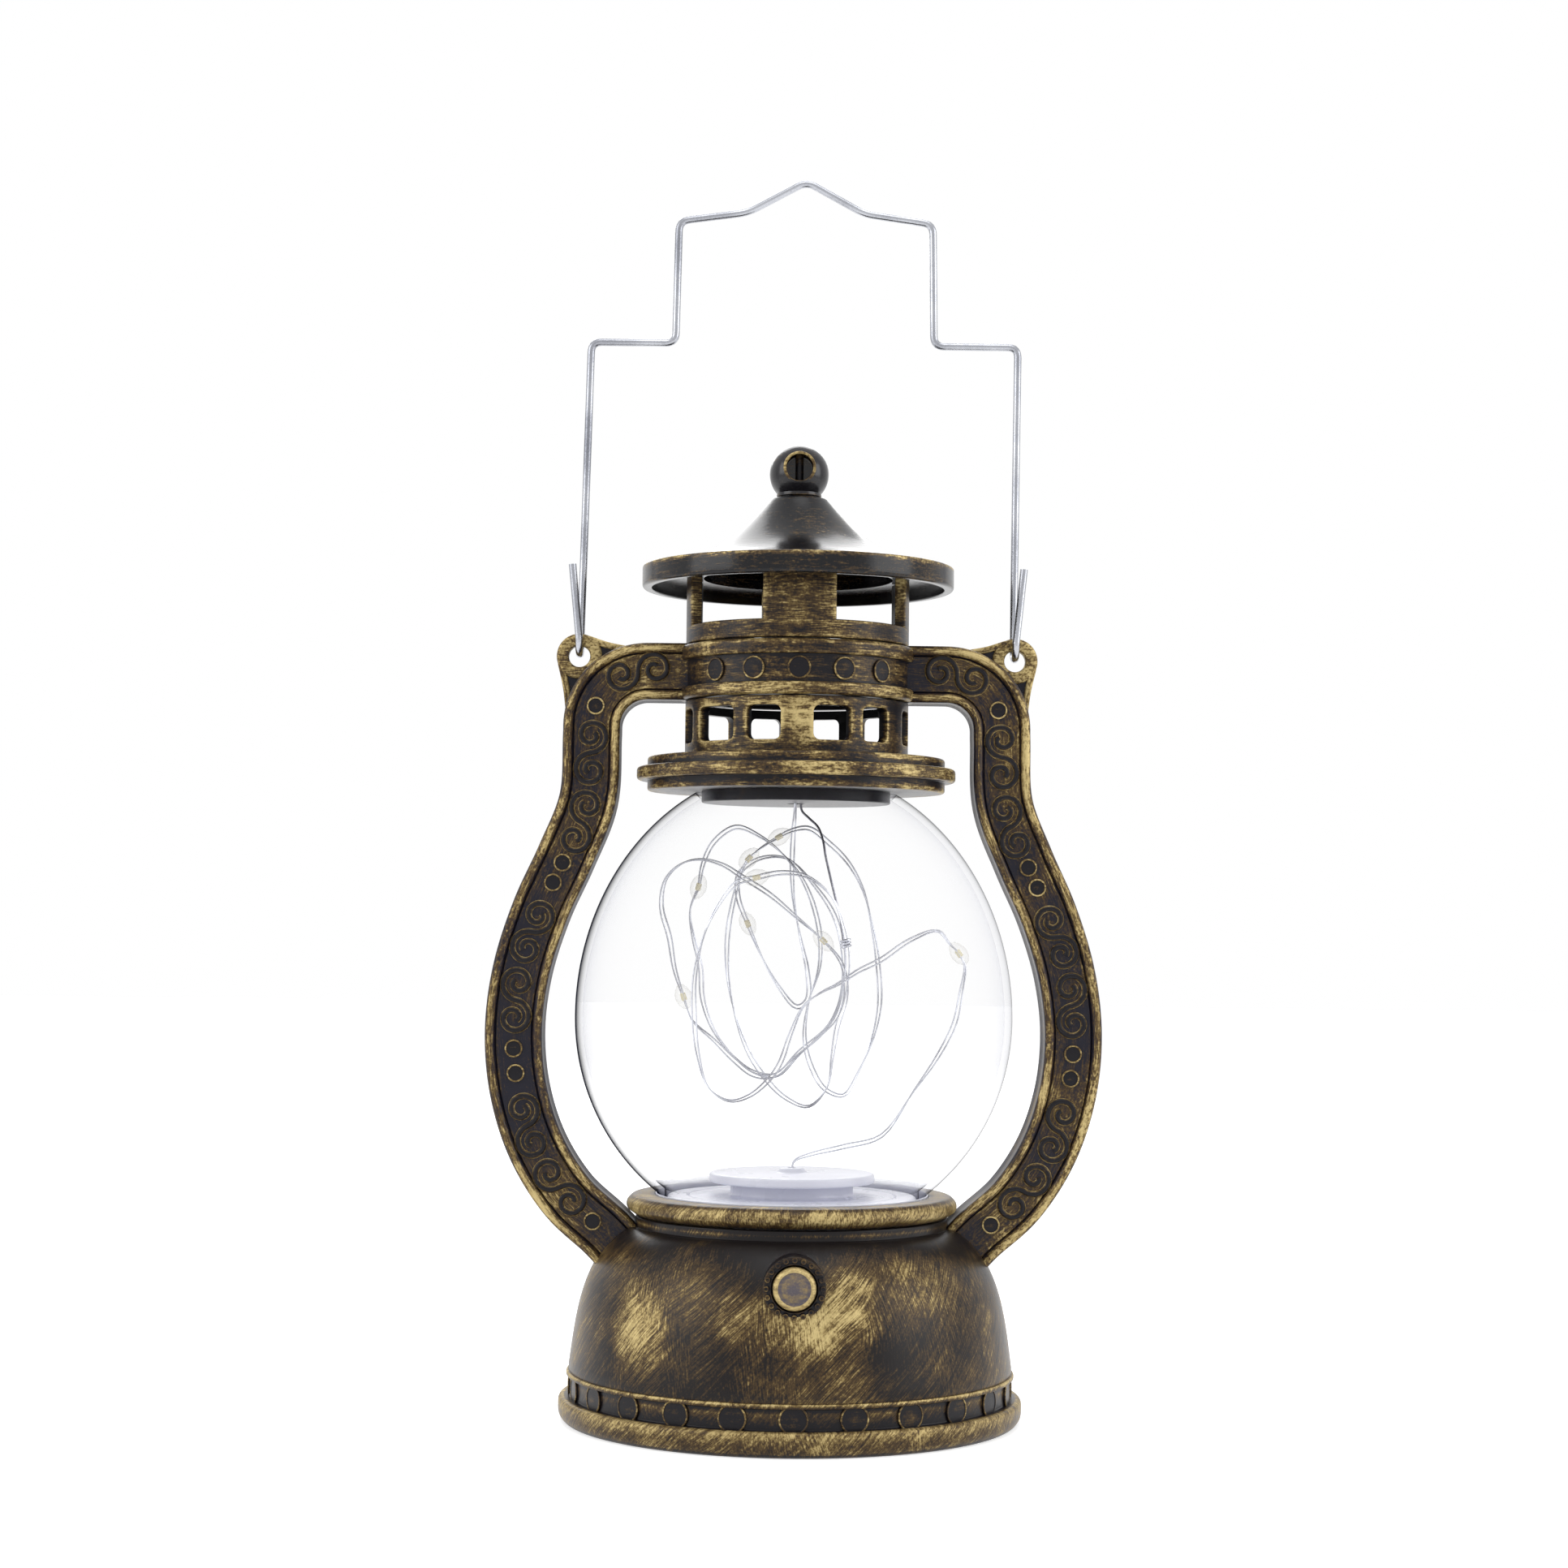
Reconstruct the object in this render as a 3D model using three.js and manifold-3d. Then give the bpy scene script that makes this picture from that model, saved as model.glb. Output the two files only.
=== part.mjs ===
// Battery lantern in the old kerosene-lamp shape: a round base, a clear globe with a string of
// tiny lamps in it, two side arms, a vented chimney under a witch-hat roof and a wire bail.
// Millimetres, Z up. The front, with its push button, looks along -Y. The origin is the centre
// of the foot ring's underside.

import * as THREE from 'three';
import { mergeVertices } from 'three/addons/utils/BufferGeometryUtils.js';
import Module from 'manifold-3d';

const wasm = await Module();
wasm.setup();

// Clearances, walls and facets
const gap = 0.3;
const bodyWall = 2;
const roundFacets = 30;
const smallFacets = 16;

// Base shell, from the foot ring up to the neck that carries the seat ring
const footRadius = 45.1;
const footHeight = 4.8;
const footLandWidth = 2.6;
const footRound = 1.3;
const bandRadius = 42.8;
const bandHeight = 4;
const discCount = 24;
const discSides = 7;
const discDiameter = 5.5;
const discProud = 0.45;
const ribRadius = 43.3;
const ribHeight = 0.8;
const domeHeight = 27.8;
const domeTopRadius = 31.4;
const domeTaper = 0.3;
const domeFullness = 4;
const domeShoulder = 0.75;
const shoulderThickness = 1.4;
const neckRadius = 30.5;
const neckHeight = 2.1;
const wireHoleRadius = 5;
const bossRadius = 3.2;

// Base plate with its battery box and door
const plateRecess = 1.6;
const plateThickness = 2;
const batteryDiameter = 10.5;
const batteryLength = 44.5;
const batteryNubRadius = 1.9;
const batteryNubLength = 1.2;
const batteryCount = 3;
const boxWall = 1.6;
const doorThickness = 2;
const doorLedge = 2.6;
const doorNotchRadius = 6;
const tabWidth = 6;
const tabReach = 1.7;
const tabThickness = 1;
const tabSpread = 16;
const springLength = 4.6;
const springRadius = 2.9;
const springWire = 0.5;
const springCurls = 3;
const contactThickness = 0.5;
const contactSize = 7;
const screwCircleRadius = 35.5;
const screwHeadRadius = 2.7;
const screwHeadHeight = 1.4;
const screwSlotWidth = 0.7;
const screwShankRadius = 1.3;
const screwLength = 9;
const screwPadRadius = 4.2;
const screwCount = 4;

// Push button, its collar and the switch behind it
const buttonHeight = 30.05;
const buttonRadius = 4;
const buttonProud = 0.8;
const buttonFlatShare = 0.85;
const buttonDepth = 3.6;
const buttonTravel = 1.5;
const buttonStemRadius = 2;
const collarRingRadius = 5.8;
const collarRingSink = 0.4;
const collarRingFloor = 2;
const notchCount = 14;
const notchRadius = 0.55;
const plungerRadius = 1.2;
const plungerLength = 4;
const switchWidth = 8;
const switchLength = 8;
const boardWidth = 24;
const boardHeight = 15;
const boardThickness = 1.6;
const boardGrip = 6;
const gripWidth = 4;

// Seat ring, globe and the lamp disc in the globe's foot
const seatRingRadius = 32.3;
const seatRingHeight = 3.8;
const seatRingLand = 1.4;
const seatRingChamfer = 1.3;
const globeWall = 1.5;
const globeNeckRadius = 26.4;
const globeNeckHeight = 4.1;
const globeBellyRadius = 42.9;
const globeLowerHalf = 43.5;
const globeUpperHalf = 49.5;
const globeOpeningRadius = 19.9;
const globeRimWall = 1;
const globeBands = 6;
const lampDiscRadius = 16.2;
const lampDiscThickness = 1.8;
const lampDiscHeight = 6.2;
const lampHubRadius = 12;
const lampNubRadius = 3;
const lampNubHeight = 1;

// Globe cap, vent gallery, collar band, upper chimney, roof and finial
const capPlugDepth = 2.2;
const capStepRadius = 29.3;
const capLowerStep = 2.1;
const capDiscRadius = 31.4;
const capDiscHeight = 2.6;
const capUpperStep = 2;
const capFloor = 2;
const capEdgeRound = 0.6;
const chimneyRadius = 22;
const chimneyWall = 2.1;
const spigotWall = 1.8;
const spigotDepth = 1.4;
const galleryHeight = 10.55;
const windowHeight = 6.6;
const windowCorner = 1.3;
const windowSill = 2.25;
const sideWindow = 6.9;
const windows = [
  [-47.2, 9.6], [-17.9, 6.8], [17.4, 7.6], [43.2, 6.7],
  [77.5, sideWindow], [102.5, sideWindow], [130.5, 7], [162.5, sideWindow],
  [-162.5, sideWindow], [-129, 9.6], [-102.5, sideWindow], [-77.5, sideWindow],
];
const collarHeight = 10.65;
const collarBeadRadius = 23.2;
const collarLowerBead = 2.4;
const collarUpperBead = 2.85;
const collarBossDiameter = 4.5;
const collarBossProud = 0.5;
const collarBossAngles = [-46, -23, 0, 23, 46];
const drumHeight = 3.55;
const postHeight = 9.5;
const postHalfAngle = 19;
const roofRadius = 30.8;
const brimHeight = 4.3;
const brimLip = 2.1;
const brimLipWidth = 1.9;
const brimRound = 0.7;
const coneHeight = 13.9;
const coneTopRadius = 5.5;
const coneSweep = 2.25;
const coneWall = 2.6;
const coneShares = [0.94, 0.6, 0.42, 0.27, 0.14, 0.05];
const coneInnerShares = [0.1, 0.24, 0.42];
const roofCavityRadius = 18.7;
const finialRadius = 5.85;
const finialNeck = 4.5;
const finialPlugRadius = 2;
const finialPlugDepth = 2;
const finialRecessRadius = 2.85;
const finialRecessLift = 0.7;
const finialWeb = 3;
const finialBarRadius = 0.8;

// Side arms with the ears for the bail
const armWidth = 11.2;
const armDepth = 11;
const armBead = 1.9;
const armChannelDepth = 1;
const armCornerRadius = 10.8;
const armUprightX = 40.2;
const armWaistX = 40.8;
const armWaistDrop = 14.5;
const armBellyGap = 6.1;
const armBellyDrop = 2.8;
const armUpperBend = [[0.3, 0.245], [0.64, 0.48], [0.9, 0.74]];
const armLowerBend = [[0.06, 0.3], [0.262, 0.586], [0.601, 0.831]];
const armFootOut = 4.9;
const armFootSink = 1.1;
const armFootSlope = 46;
const armFootRun = 9;
const tongueWidth = 4.6;
const tongueDepth = 6;
const tongueReach = 4;
const earOut = 43;
const earRise = 3.1;
const earHoleRadius = 2.1;
const earRadius = 4.5;
const earThickness = 3;
const earWebThickness = 2;

// Bail
const bailWire = 1.5;
const bailSides = 8;
const bailHookRadius = 2.85;
const bailHookEnd = 14.7;
const bailHookLean = 1.5;
const bailLegTop = 42.6;
const bailShoulderRise = 60;
const bailNeckHalf = 25.8;
const bailNeckTopHalf = 25.4;
const bailNeckRise = 24.65;
const bailCrownHalf = 11.7;
const bailCrownRise = 1.9;
const bailApexRise = 6.4;
const bailBend = 2;
const bailLean = 0.9;

// Fairy string: a pair of fine strands, drawn as one wire, with tiny lamps in clear drops
const wireDiameter = 1.1;
const wireSides = 5;
const layoutRadius = 42.9;
const layoutHeight = 71.3;
const endRoom = 1.2;
const ledRadius = 1.7;
const ledHalfLength = 2.6;
const ledTaper = 0.7;
const ledWireRoom = 0.3;
const lampStations = [12, 33, 48, 59, 74, 76, 100, 119];
const tieWireDiameter = 0.6;
const tieHang = [
  [2.6, 0.6, 2.8], [4.4, 1.5, 4.6], [5.4, 2.7, 7.4], [5.9, 3.6, 10.4], [7.8, 5, 18.4],
  [8.9, 5.2, 22.6], [9.5, 5.1, 27.2],
];

// Heights of the stack, each from the one below
const bandBottom = footHeight;
const ribBottom = bandBottom + bandHeight;
const domeBottom = ribBottom + ribHeight;
const domeTop = domeBottom + domeHeight;
const deckTop = domeTop + neckHeight;
const deckUnderside = domeTop - shoulderThickness;
const footInnerRadius = bandRadius - bodyWall;
const seatBottom = deckTop + gap;
const seatTop = seatBottom + seatRingHeight;
const globeNeckTop = seatBottom + globeNeckHeight;
const globeBellyZ = globeNeckTop + ellipseRise(globeNeckRadius, globeBellyRadius, globeLowerHalf);
const globeTop = globeBellyZ + ellipseRise(globeOpeningRadius, globeBellyRadius, globeUpperHalf);
const globeMouthRadius = globeOpeningRadius - globeRimWall;
const capBottom = globeTop + gap;
const capPlugBottom = capBottom - capPlugDepth;
const capPlugRadius = globeMouthRadius - gap;
const capDiscBottom = capBottom + capLowerStep;
const capDiscTop = capDiscBottom + capDiscHeight;
const capTop = capDiscTop + capUpperStep;
const galleryBottom = capTop + gap;
const galleryTop = galleryBottom + galleryHeight;
const collarBottom = galleryTop + gap;
const collarTop = collarBottom + collarHeight;
const drumBottom = collarTop + gap;
const drumTop = drumBottom + drumHeight;
const postTop = drumTop + postHeight;
const roofCeiling = postTop + gap;
const brimBottom = roofCeiling - brimLip;
const brimTop = brimBottom + brimHeight;
const coneTop = brimTop + coneHeight;
const finialBottom = coneTop + gap;
const finialCentre = finialBottom + Math.sqrt(finialRadius ** 2 - (finialNeck * 0.8) ** 2);
const chimneyBore = chimneyRadius - chimneyWall;
const spigotRadius = chimneyBore - gap;
const spigotBore = spigotRadius - spigotWall;

// Places inside the base
const plateBottom = plateRecess;
const plateTop = plateBottom + plateThickness;
const plateRadius = footInnerRadius - gap;
const doorTop = plateBottom + doorThickness;
const ledgeBottom = doorTop + gap;
const batteryPitch = batteryDiameter + gap;
const batteryZ = ledgeBottom + gap + batteryDiameter / 2;
const boxBore = batteryCount * batteryPitch + gap;
const boxLength = batteryLength + springLength + contactThickness + 4 * gap;
const boxCeiling = batteryZ + batteryDiameter / 2 + gap;
const boxTop = boxCeiling + boxWall;
const doorHoleX = boxLength + 2 * doorLedge;
const doorHoleY = boxBore + 2 * doorLedge;
const doorX = doorHoleX - 2 * gap;
const doorY = doorHoleY - 2 * gap;
const frameTop = ledgeBottom + boxWall;
const frameX = doorHoleX + 2 * boxWall;
const frameY = doorHoleY + 2 * boxWall;
const hingeY = doorY / 2;
const tabTop = frameTop - 2 * gap;

// Places along the button's axis, from the front backwards
const collarRingFront = -(domeRadiusAt(buttonHeight - collarRingRadius) - collarRingSink);
const collarRingBore = buttonRadius + gap;
const buttonFront = collarRingFront - buttonProud;
const buttonBack = buttonFront + buttonDepth;
const ringFloorFront = buttonBack + buttonTravel + gap;
const ringBack = ringFloorFront + collarRingFloor;
const switchFront = ringBack + 2.5 * buttonTravel;
const stemBack = switchFront - buttonTravel - gap;
const plungerBack = stemBack + gap + plungerLength;
const switchBack = switchFront + switchLength;
const boardFront = switchBack + gap;
const boardBack = boardFront + boardThickness;
const boardBottom = buttonHeight - boardHeight / 2 - 2;

// Places on the arms
const armTopZ = (collarBottom + collarTop) / 2 + gap / 2;
const armCornerX = armUprightX - armCornerRadius;
const armCornerZ = armTopZ - armCornerRadius;
const armWaistZ = armCornerZ - armWaistDrop;
const armBellyX = globeBellyRadius + armBellyGap + armWidth / 2;
const armBellyZ = globeBellyZ - armBellyDrop;
const armFootX = domeTopRadius + armFootOut;
const armFootZ = domeTop - armFootSink;
const earZ = armTopZ + earRise;
const pivotZ = earZ + (earHoleRadius + earRadius) / 2;

function ellipseRise(radius, halfWidth, halfHeight) {
  return halfHeight * Math.sqrt(1 - (radius / halfWidth) ** 2);
}

function domeRadiusAt(z) {
  const t = THREE.MathUtils.clamp((z - domeBottom) / domeHeight, 0, 1);
  const fullness = (1 - domeTaper * t) * (1 - t ** domeFullness) ** domeShoulder;
  return domeTopRadius + (ribRadius - domeTopRadius) * fullness;
}

function radians(degrees) {
  return THREE.MathUtils.degToRad(degrees);
}

// A closed mesh of shared vertices whose faces look outwards
function closed(geometry) {
  const bare = geometry.clone();
  bare.deleteAttribute('normal');
  bare.deleteAttribute('uv');
  const merged = mergeVertices(bare, 1e-4);
  const position = merged.getAttribute('position');
  const index = merged.getIndex().array;
  const kept = [];
  const [a, b, c] = [new THREE.Vector3(), new THREE.Vector3(), new THREE.Vector3()];
  let volume = 0;
  for (let i = 0; i < index.length; i += 3) {
    const [p, q, r] = [index[i], index[i + 1], index[i + 2]];
    if (p === q || q === r || r === p) continue;
    kept.push(p, q, r);
    a.fromBufferAttribute(position, p);
    b.fromBufferAttribute(position, q);
    c.fromBufferAttribute(position, r);
    volume += a.dot(b.cross(c));
  }
  merged.setIndex(volume < 0 ? kept.reverse() : kept);
  return merged;
}

function solid(geometry) {
  const mesh = closed(geometry);
  return new wasm.Manifold(new wasm.Mesh({
    numProp: 3,
    vertProperties: new Float32Array(mesh.getAttribute('position').array),
    triVerts: new Uint32Array(mesh.getIndex().array),
  }));
}

function geometryOf(manifold) {
  const mesh = manifold.getMesh();
  const geometry = new THREE.BufferGeometry();
  geometry.setAttribute('position', new THREE.BufferAttribute(mesh.vertProperties, 3));
  geometry.setIndex(new THREE.BufferAttribute(mesh.triVerts, 1));
  geometry.computeVertexNormals();
  return geometry;
}

function joined(first, ...others) {
  return others.reduce((whole, other) => whole.add(other), first);
}

function cut(first, ...others) {
  return others.reduce((whole, other) => whole.subtract(other), first);
}

// Revolves a profile of [radius, height] pairs round the Z axis
function revolved(profile, facets = roundFacets) {
  const points = profile.map(([radius, height]) => new THREE.Vector2(radius, height));
  const onAxis = profile[0][0] === 0 && profile.at(-1)[0] === 0;
  if (!onAxis) points.push(points[0].clone());
  return new THREE.LatheGeometry(points, facets).rotateX(Math.PI / 2);
}

function rod(radius, bottom, top, facets = smallFacets) {
  return revolved([[0, bottom], [radius, bottom], [radius, top], [0, top]], facets);
}

function block(sizeX, sizeY, bottom, top, x = 0, y = 0) {
  const geometry = new THREE.BoxGeometry(sizeX, sizeY, top - bottom);
  return geometry.translate(x, y, (bottom + top) / 2);
}

// Turns a piece made along Z so that it lies along Y, its bottom to the front
function alongY(geometry, height) {
  return geometry.rotateX(-Math.PI / 2).translate(0, 0, height);
}

// Stands an outline drawn in X and Z upright, with its thickness centred on Y = 0
function upright(shape, thickness, curveSegments) {
  const geometry = new THREE.ExtrudeGeometry(shape, {
    depth: thickness, bevelEnabled: false, curveSegments,
  });
  return geometry.rotateX(Math.PI / 2).translate(0, thickness / 2, 0);
}

// A route whose stations lie closer at its bends, mitred at each station
class Route extends THREE.Curve {
  constructor(points) {
    super();
    this.points = points;
  }

  getPoint(t, target = new THREE.Vector3()) {
    const last = this.points.length - 1;
    const at = Math.min(Math.floor(t * last + 1e-9), last - 1);
    return target.lerpVectors(this.points[at], this.points[at + 1], t * last - at);
  }

  getPointAt(t, target) {
    return this.getPoint(t, target);
  }

  getTangentAt(t, target = new THREE.Vector3()) {
    const last = this.points.length - 1;
    const at = Math.round(t * last);
    const here = this.points[at];
    const before = this.points[Math.max(at - 1, 0)];
    const after = this.points[Math.min(at + 1, last)];
    const incoming = here.clone().sub(before).normalize();
    const outgoing = after.clone().sub(here).normalize();
    return target.copy(incoming.add(outgoing)).normalize();
  }
}

function circleShape(radius, sides) {
  const shape = new THREE.Shape();
  for (let i = 0; i < sides; i += 1) {
    const angle = 2 * Math.PI * i / sides;
    const [x, y] = [radius * Math.cos(angle), radius * Math.sin(angle)];
    if (i === 0) shape.moveTo(x, y);
    else shape.lineTo(x, y);
  }
  shape.closePath();
  return shape;
}

function swept(shape, points) {
  const extrudePath = new Route(points);
  return new THREE.ExtrudeGeometry(shape, { steps: points.length - 1, extrudePath });
}

// Replaces each inner corner of a polyline with a bend of three stations
function bent(corners, setback) {
  const points = [corners[0]];
  for (let i = 1; i < corners.length - 1; i += 1) {
    const corner = corners[i];
    const from = corners[i - 1].clone().sub(corner).setLength(setback).add(corner);
    const to = corners[i + 1].clone().sub(corner).setLength(setback).add(corner);
    const bend = new THREE.QuadraticBezierCurve3(from, corner, to);
    points.push(...bend.getPoints(3));
  }
  points.push(corners.at(-1));
  return points;
}

// The least distance between stretches of a route that lie more than a length apart along it
function leastSelfDistance(points, apart) {
  const step = apart / 24;
  const samples = points.slice(1).flatMap((end, i) => {
    const count = Math.ceil(end.distanceTo(points[i]) / step);
    return Array.from({ length: count }, (_, k) => points[i].clone().lerp(end, k / count));
  });
  let least = Infinity;
  for (let i = 0; i < samples.length; i += 1) {
    let run = 0;
    for (let j = i + 1; j < samples.length; j += 1) {
      run += samples[j].distanceTo(samples[j - 1]);
      if (run > apart) least = Math.min(least, samples[i].distanceTo(samples[j]));
    }
  }
  return least;
}

// Base shell: a moulded dome with a foot ring, a band of discs and four screw bosses
function domeProfile(inset) {
  const steps = 6;
  const profile = [];
  for (let i = 0; i <= steps; i += 1) {
    const t = Math.sin((i / steps) * Math.PI / 2);
    const z = domeBottom + domeHeight * t;
    profile.push([domeRadiusAt(z) - inset, z]);
  }
  return profile;
}

function baseOutline() {
  const land = footRadius - footRound;
  return [
    [land - footLandWidth, 0],
    [land, 0],
    [footRadius, footHeight * 0.3],
    [footRadius, footHeight * 0.7],
    [land, footHeight],
    [bandRadius, footHeight],
    [bandRadius, ribBottom],
    ...domeProfile(0),
    [neckRadius, domeTop],
    [neckRadius, deckTop],
  ];
}

function baseCavity() {
  const profile = domeProfile(bodyWall).filter(([, z]) => z < deckUnderside - 1);
  const shoulder = domeRadiusAt(deckUnderside - 1) - bodyWall;
  return revolved([
    [0, -1],
    [footInnerRadius, -1],
    [footInnerRadius, ribBottom],
    ...profile,
    [shoulder, deckUnderside],
    [neckRadius - bodyWall, deckUnderside],
    [neckRadius - bodyWall, deckTop - bodyWall],
    [0, deckTop - bodyWall],
  ]);
}

function bandDiscs() {
  const disc = rod(discDiameter / 2, bandRadius - bodyWall / 2, bandRadius + discProud, discSides);
  const centre = bandBottom + bandHeight / 2;
  return Array.from({ length: discCount }, (_, i) => {
    const turn = radians((i + 0.5) * 360 / discCount);
    return solid(disc.clone().rotateX(Math.PI / 2).translate(0, 0, centre).rotateZ(turn));
  });
}

function screwPlaces() {
  return Array.from({ length: screwCount }, (_, i) => {
    const angle = radians(45 + i * 360 / screwCount);
    return [screwCircleRadius * Math.cos(angle), screwCircleRadius * Math.sin(angle)];
  });
}

function baseShell() {
  const domed = solid(revolved([[0, 0], ...baseOutline().slice(1), [0, deckTop]]));
  const cavity = solid(baseCavity());
  const bossBottom = plateTop + screwPadRadius / 2 + gap;
  const bosses = screwPlaces().map(([x, y]) => (
    solid(rod(bossRadius, bossBottom, deckUnderside + 0.5, 8).translate(x, y, 0))
  ));
  const filled = domed.intersect(joined(...bosses));
  const screwHoles = screwPlaces().map(([x, y]) => (
    solid(rod(screwShankRadius + gap, 0, screwLength + 5, 8).translate(x, y, 0))
  ));
  const discs = bandDiscs().map((disc) => disc.subtract(cavity));
  const shell = joined(cut(domed, cavity), filled, ...discs);
  const buttonHole = alongY(rod(collarRingRadius + gap, -footRadius, ringBack, 20), buttonHeight);
  const wireHole = rod(wireHoleRadius, deckUnderside - 1, deckTop + 1);
  const slots = [-1, 1].map((side) => solid(footTongue(side, gap)));
  return cut(shell, ...screwHoles, solid(buttonHole), solid(wireHole), ...slots);
}

// Base plate with the battery box on its inner side and the door's recess on its outer side
function basePlate() {
  const disc = rod(plateRadius, plateBottom, plateTop, roundFacets);
  const frame = block(frameX, frameY, plateBottom, frameTop);
  const box = block(boxLength + 2 * boxWall, boxBore + 2 * boxWall, plateBottom, boxTop);
  const pads = screwPlaces().map(([x, y]) => (
    solid(rod(screwPadRadius, plateBottom, plateTop + screwPadRadius / 2, 8).translate(x, y, 0))
  ));
  const gripX = (boardWidth - gripWidth) / 2 + boxWall;
  const grips = [-1, 1].map((side) => solid(block(
    gripWidth, boardThickness + 2 * boxWall + 2 * gap, plateBottom, boardBottom + boardGrip / 2,
    side * gripX, (boardFront + boardBack) / 2,
  )));
  const body = joined(solid(disc), solid(frame), solid(box), ...pads, ...grips);
  const doorRecess = block(doorHoleX, doorHoleY, 0, ledgeBottom);
  const inside = block(boxLength, boxBore, 0, boxCeiling);
  const tabSlots = [-1, 1].map((side) => solid(block(
    tabWidth + 2 * gap, doorLedge + tabReach + 3 * gap, plateTop, frameTop + 1,
    side * tabSpread, boxBore / 2 + (doorLedge + tabReach) / 2,
  )));
  const sinks = screwPlaces().flatMap(([x, y]) => {
    const sinkTop = plateBottom + screwHeadHeight + gap;
    return [
      solid(rod(screwHeadRadius + gap, 0, sinkTop, 8).translate(x, y, 0)),
      solid(rod(screwShankRadius + gap, 0, screwLength + 5, 8).translate(x, y, 0)),
    ];
  });
  const boardSlot = block(
    boardWidth + 2 * gap, boardThickness + 2 * gap, boardBottom - gap, boardBottom + boardHeight,
    0, (boardFront + boardBack) / 2,
  );
  return cut(body, solid(doorRecess), solid(inside), solid(boardSlot), ...tabSlots, ...sinks);
}

// Battery door: hooks in by two tabs and turns down about its edge
function batteryDoor() {
  const plate = solid(block(doorX, doorY, plateBottom, doorTop));
  const tabs = [-1, 1].flatMap((side) => {
    const x = side * tabSpread;
    const riser = block(tabWidth, tabThickness, doorTop - 0.5, tabTop, x, hingeY - tabThickness);
    const reach = tabReach + tabThickness;
    const lip = block(
      tabWidth, reach, tabTop - tabThickness, tabTop, x, hingeY + reach / 2 - tabThickness,
    );
    return [solid(riser), solid(lip)];
  });
  const notch = rod(doorNotchRadius, plateBottom - 1, plateBottom + doorThickness / 2);
  return cut(joined(plate, ...tabs), solid(notch.translate(0, -hingeY, 0)));
}

function screw() {
  const head = plateBottom + screwHeadHeight;
  const body = solid(revolved([
    [0, plateBottom],
    [screwHeadRadius, plateBottom],
    [screwHeadRadius, head],
    [screwShankRadius, head],
    [screwShankRadius, plateBottom + screwLength - 1.5],
    [0, plateBottom + screwLength],
  ], 8));
  const slot = block(screwHeadRadius * 1.4, screwSlotWidth, 0, plateBottom + screwHeadHeight / 2);
  return cut(body, solid(slot));
}

function battery() {
  const body = batteryLength - batteryNubLength;
  return revolved([
    [0, 0],
    [batteryDiameter / 2, 0],
    [batteryDiameter / 2, body],
    [batteryNubRadius, body],
    [batteryNubRadius, batteryLength],
    [0, batteryLength],
  ], smallFacets).rotateY(Math.PI / 2);
}

// Contact spring: one unbroken wire that narrows towards the battery
function springPoints() {
  const steps = 8;
  const run = springLength - springWire;
  return Array.from({ length: springCurls * steps + 1 }, (_, i) => {
    const t = i / (springCurls * steps);
    const radius = springRadius * (1 - 0.35 * t);
    const angle = 2 * Math.PI * i / steps;
    return new THREE.Vector3(
      springWire / 2 + run * t, radius * Math.cos(angle), radius * Math.sin(angle),
    );
  });
}

function contactSpring() {
  return swept(circleShape(springWire / 2, 5), springPoints());
}

function contactPlate() {
  return block(contactThickness, contactSize, -contactSize / 2, contactSize / 2);
}

// Button: a round head in the collar ring, on a stem that reaches the switch's plunger
function pushButton() {
  const edge = buttonRadius * buttonFlatShare;
  return alongY(revolved([
    [0, buttonFront - buttonProud / 2],
    [edge, buttonFront],
    [buttonRadius, buttonFront + buttonProud / 2],
    [buttonRadius, buttonBack],
    [buttonStemRadius, buttonBack],
    [buttonStemRadius, stemBack],
    [0, stemBack],
  ], smallFacets), buttonHeight);
}

function buttonCollar() {
  const ring = solid(alongY(revolved([
    [collarRingBore, collarRingFront],
    [collarRingRadius, collarRingFront],
    [collarRingRadius, ringBack],
    [buttonStemRadius + gap, ringBack],
    [buttonStemRadius + gap, ringFloorFront],
    [collarRingBore, ringFloorFront],
  ], 24), buttonHeight));
  const notch = rod(notchRadius, collarRingFront - 1, collarRingFront + 0.8, 6);
  const notches = Array.from({ length: notchCount }, (_, i) => {
    const turned = notch.clone().translate(collarRingRadius, 0, 0);
    return solid(alongY(turned.rotateZ(2 * Math.PI * i / notchCount), buttonHeight));
  });
  return cut(ring, ...notches);
}

function pushSwitch() {
  const half = switchWidth / 2;
  const body = block(switchWidth, switchLength, -half, half, 0, switchFront + switchLength / 2);
  const bore = alongY(
    rod(plungerRadius + gap, switchFront - 1, plungerBack + buttonTravel + gap, 10), 0,
  );
  return cut(solid(body), solid(bore)).translate([0, 0, buttonHeight]);
}

function switchPlunger() {
  return alongY(rod(plungerRadius, stemBack + gap, plungerBack, 10), buttonHeight);
}

function circuitBoard() {
  return block(
    boardWidth, boardThickness, boardBottom, boardBottom + boardHeight,
    0, (boardFront + boardBack) / 2,
  );
}

// Seat ring round the globe's neck
function seatRing() {
  const middle = seatBottom + seatRingHeight / 2;
  const bore = globeNeckRadius + gap;
  return revolved([
    [bore, seatBottom],
    [neckRadius, seatBottom],
    [seatRingRadius, middle - seatRingLand / 2],
    [seatRingRadius, middle + seatRingLand / 2],
    [seatRingRadius - seatRingChamfer, seatTop],
    [bore, seatTop],
  ]);
}

// Globe: two half ellipses over a straight neck, open at both ends
function ellipseArc(bellyRadius, halfHeight, fromRadius, toRadius, up = false) {
  const start = Math.asin(fromRadius / bellyRadius);
  const end = Math.asin(toRadius / bellyRadius);
  return Array.from({ length: globeBands }, (_, i) => {
    const angle = start + (end - start) * i / (globeBands - 1);
    const rise = halfHeight * Math.cos(angle) * (up ? 1 : -1);
    return [bellyRadius * Math.sin(angle), globeBellyZ + rise];
  });
}

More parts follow.
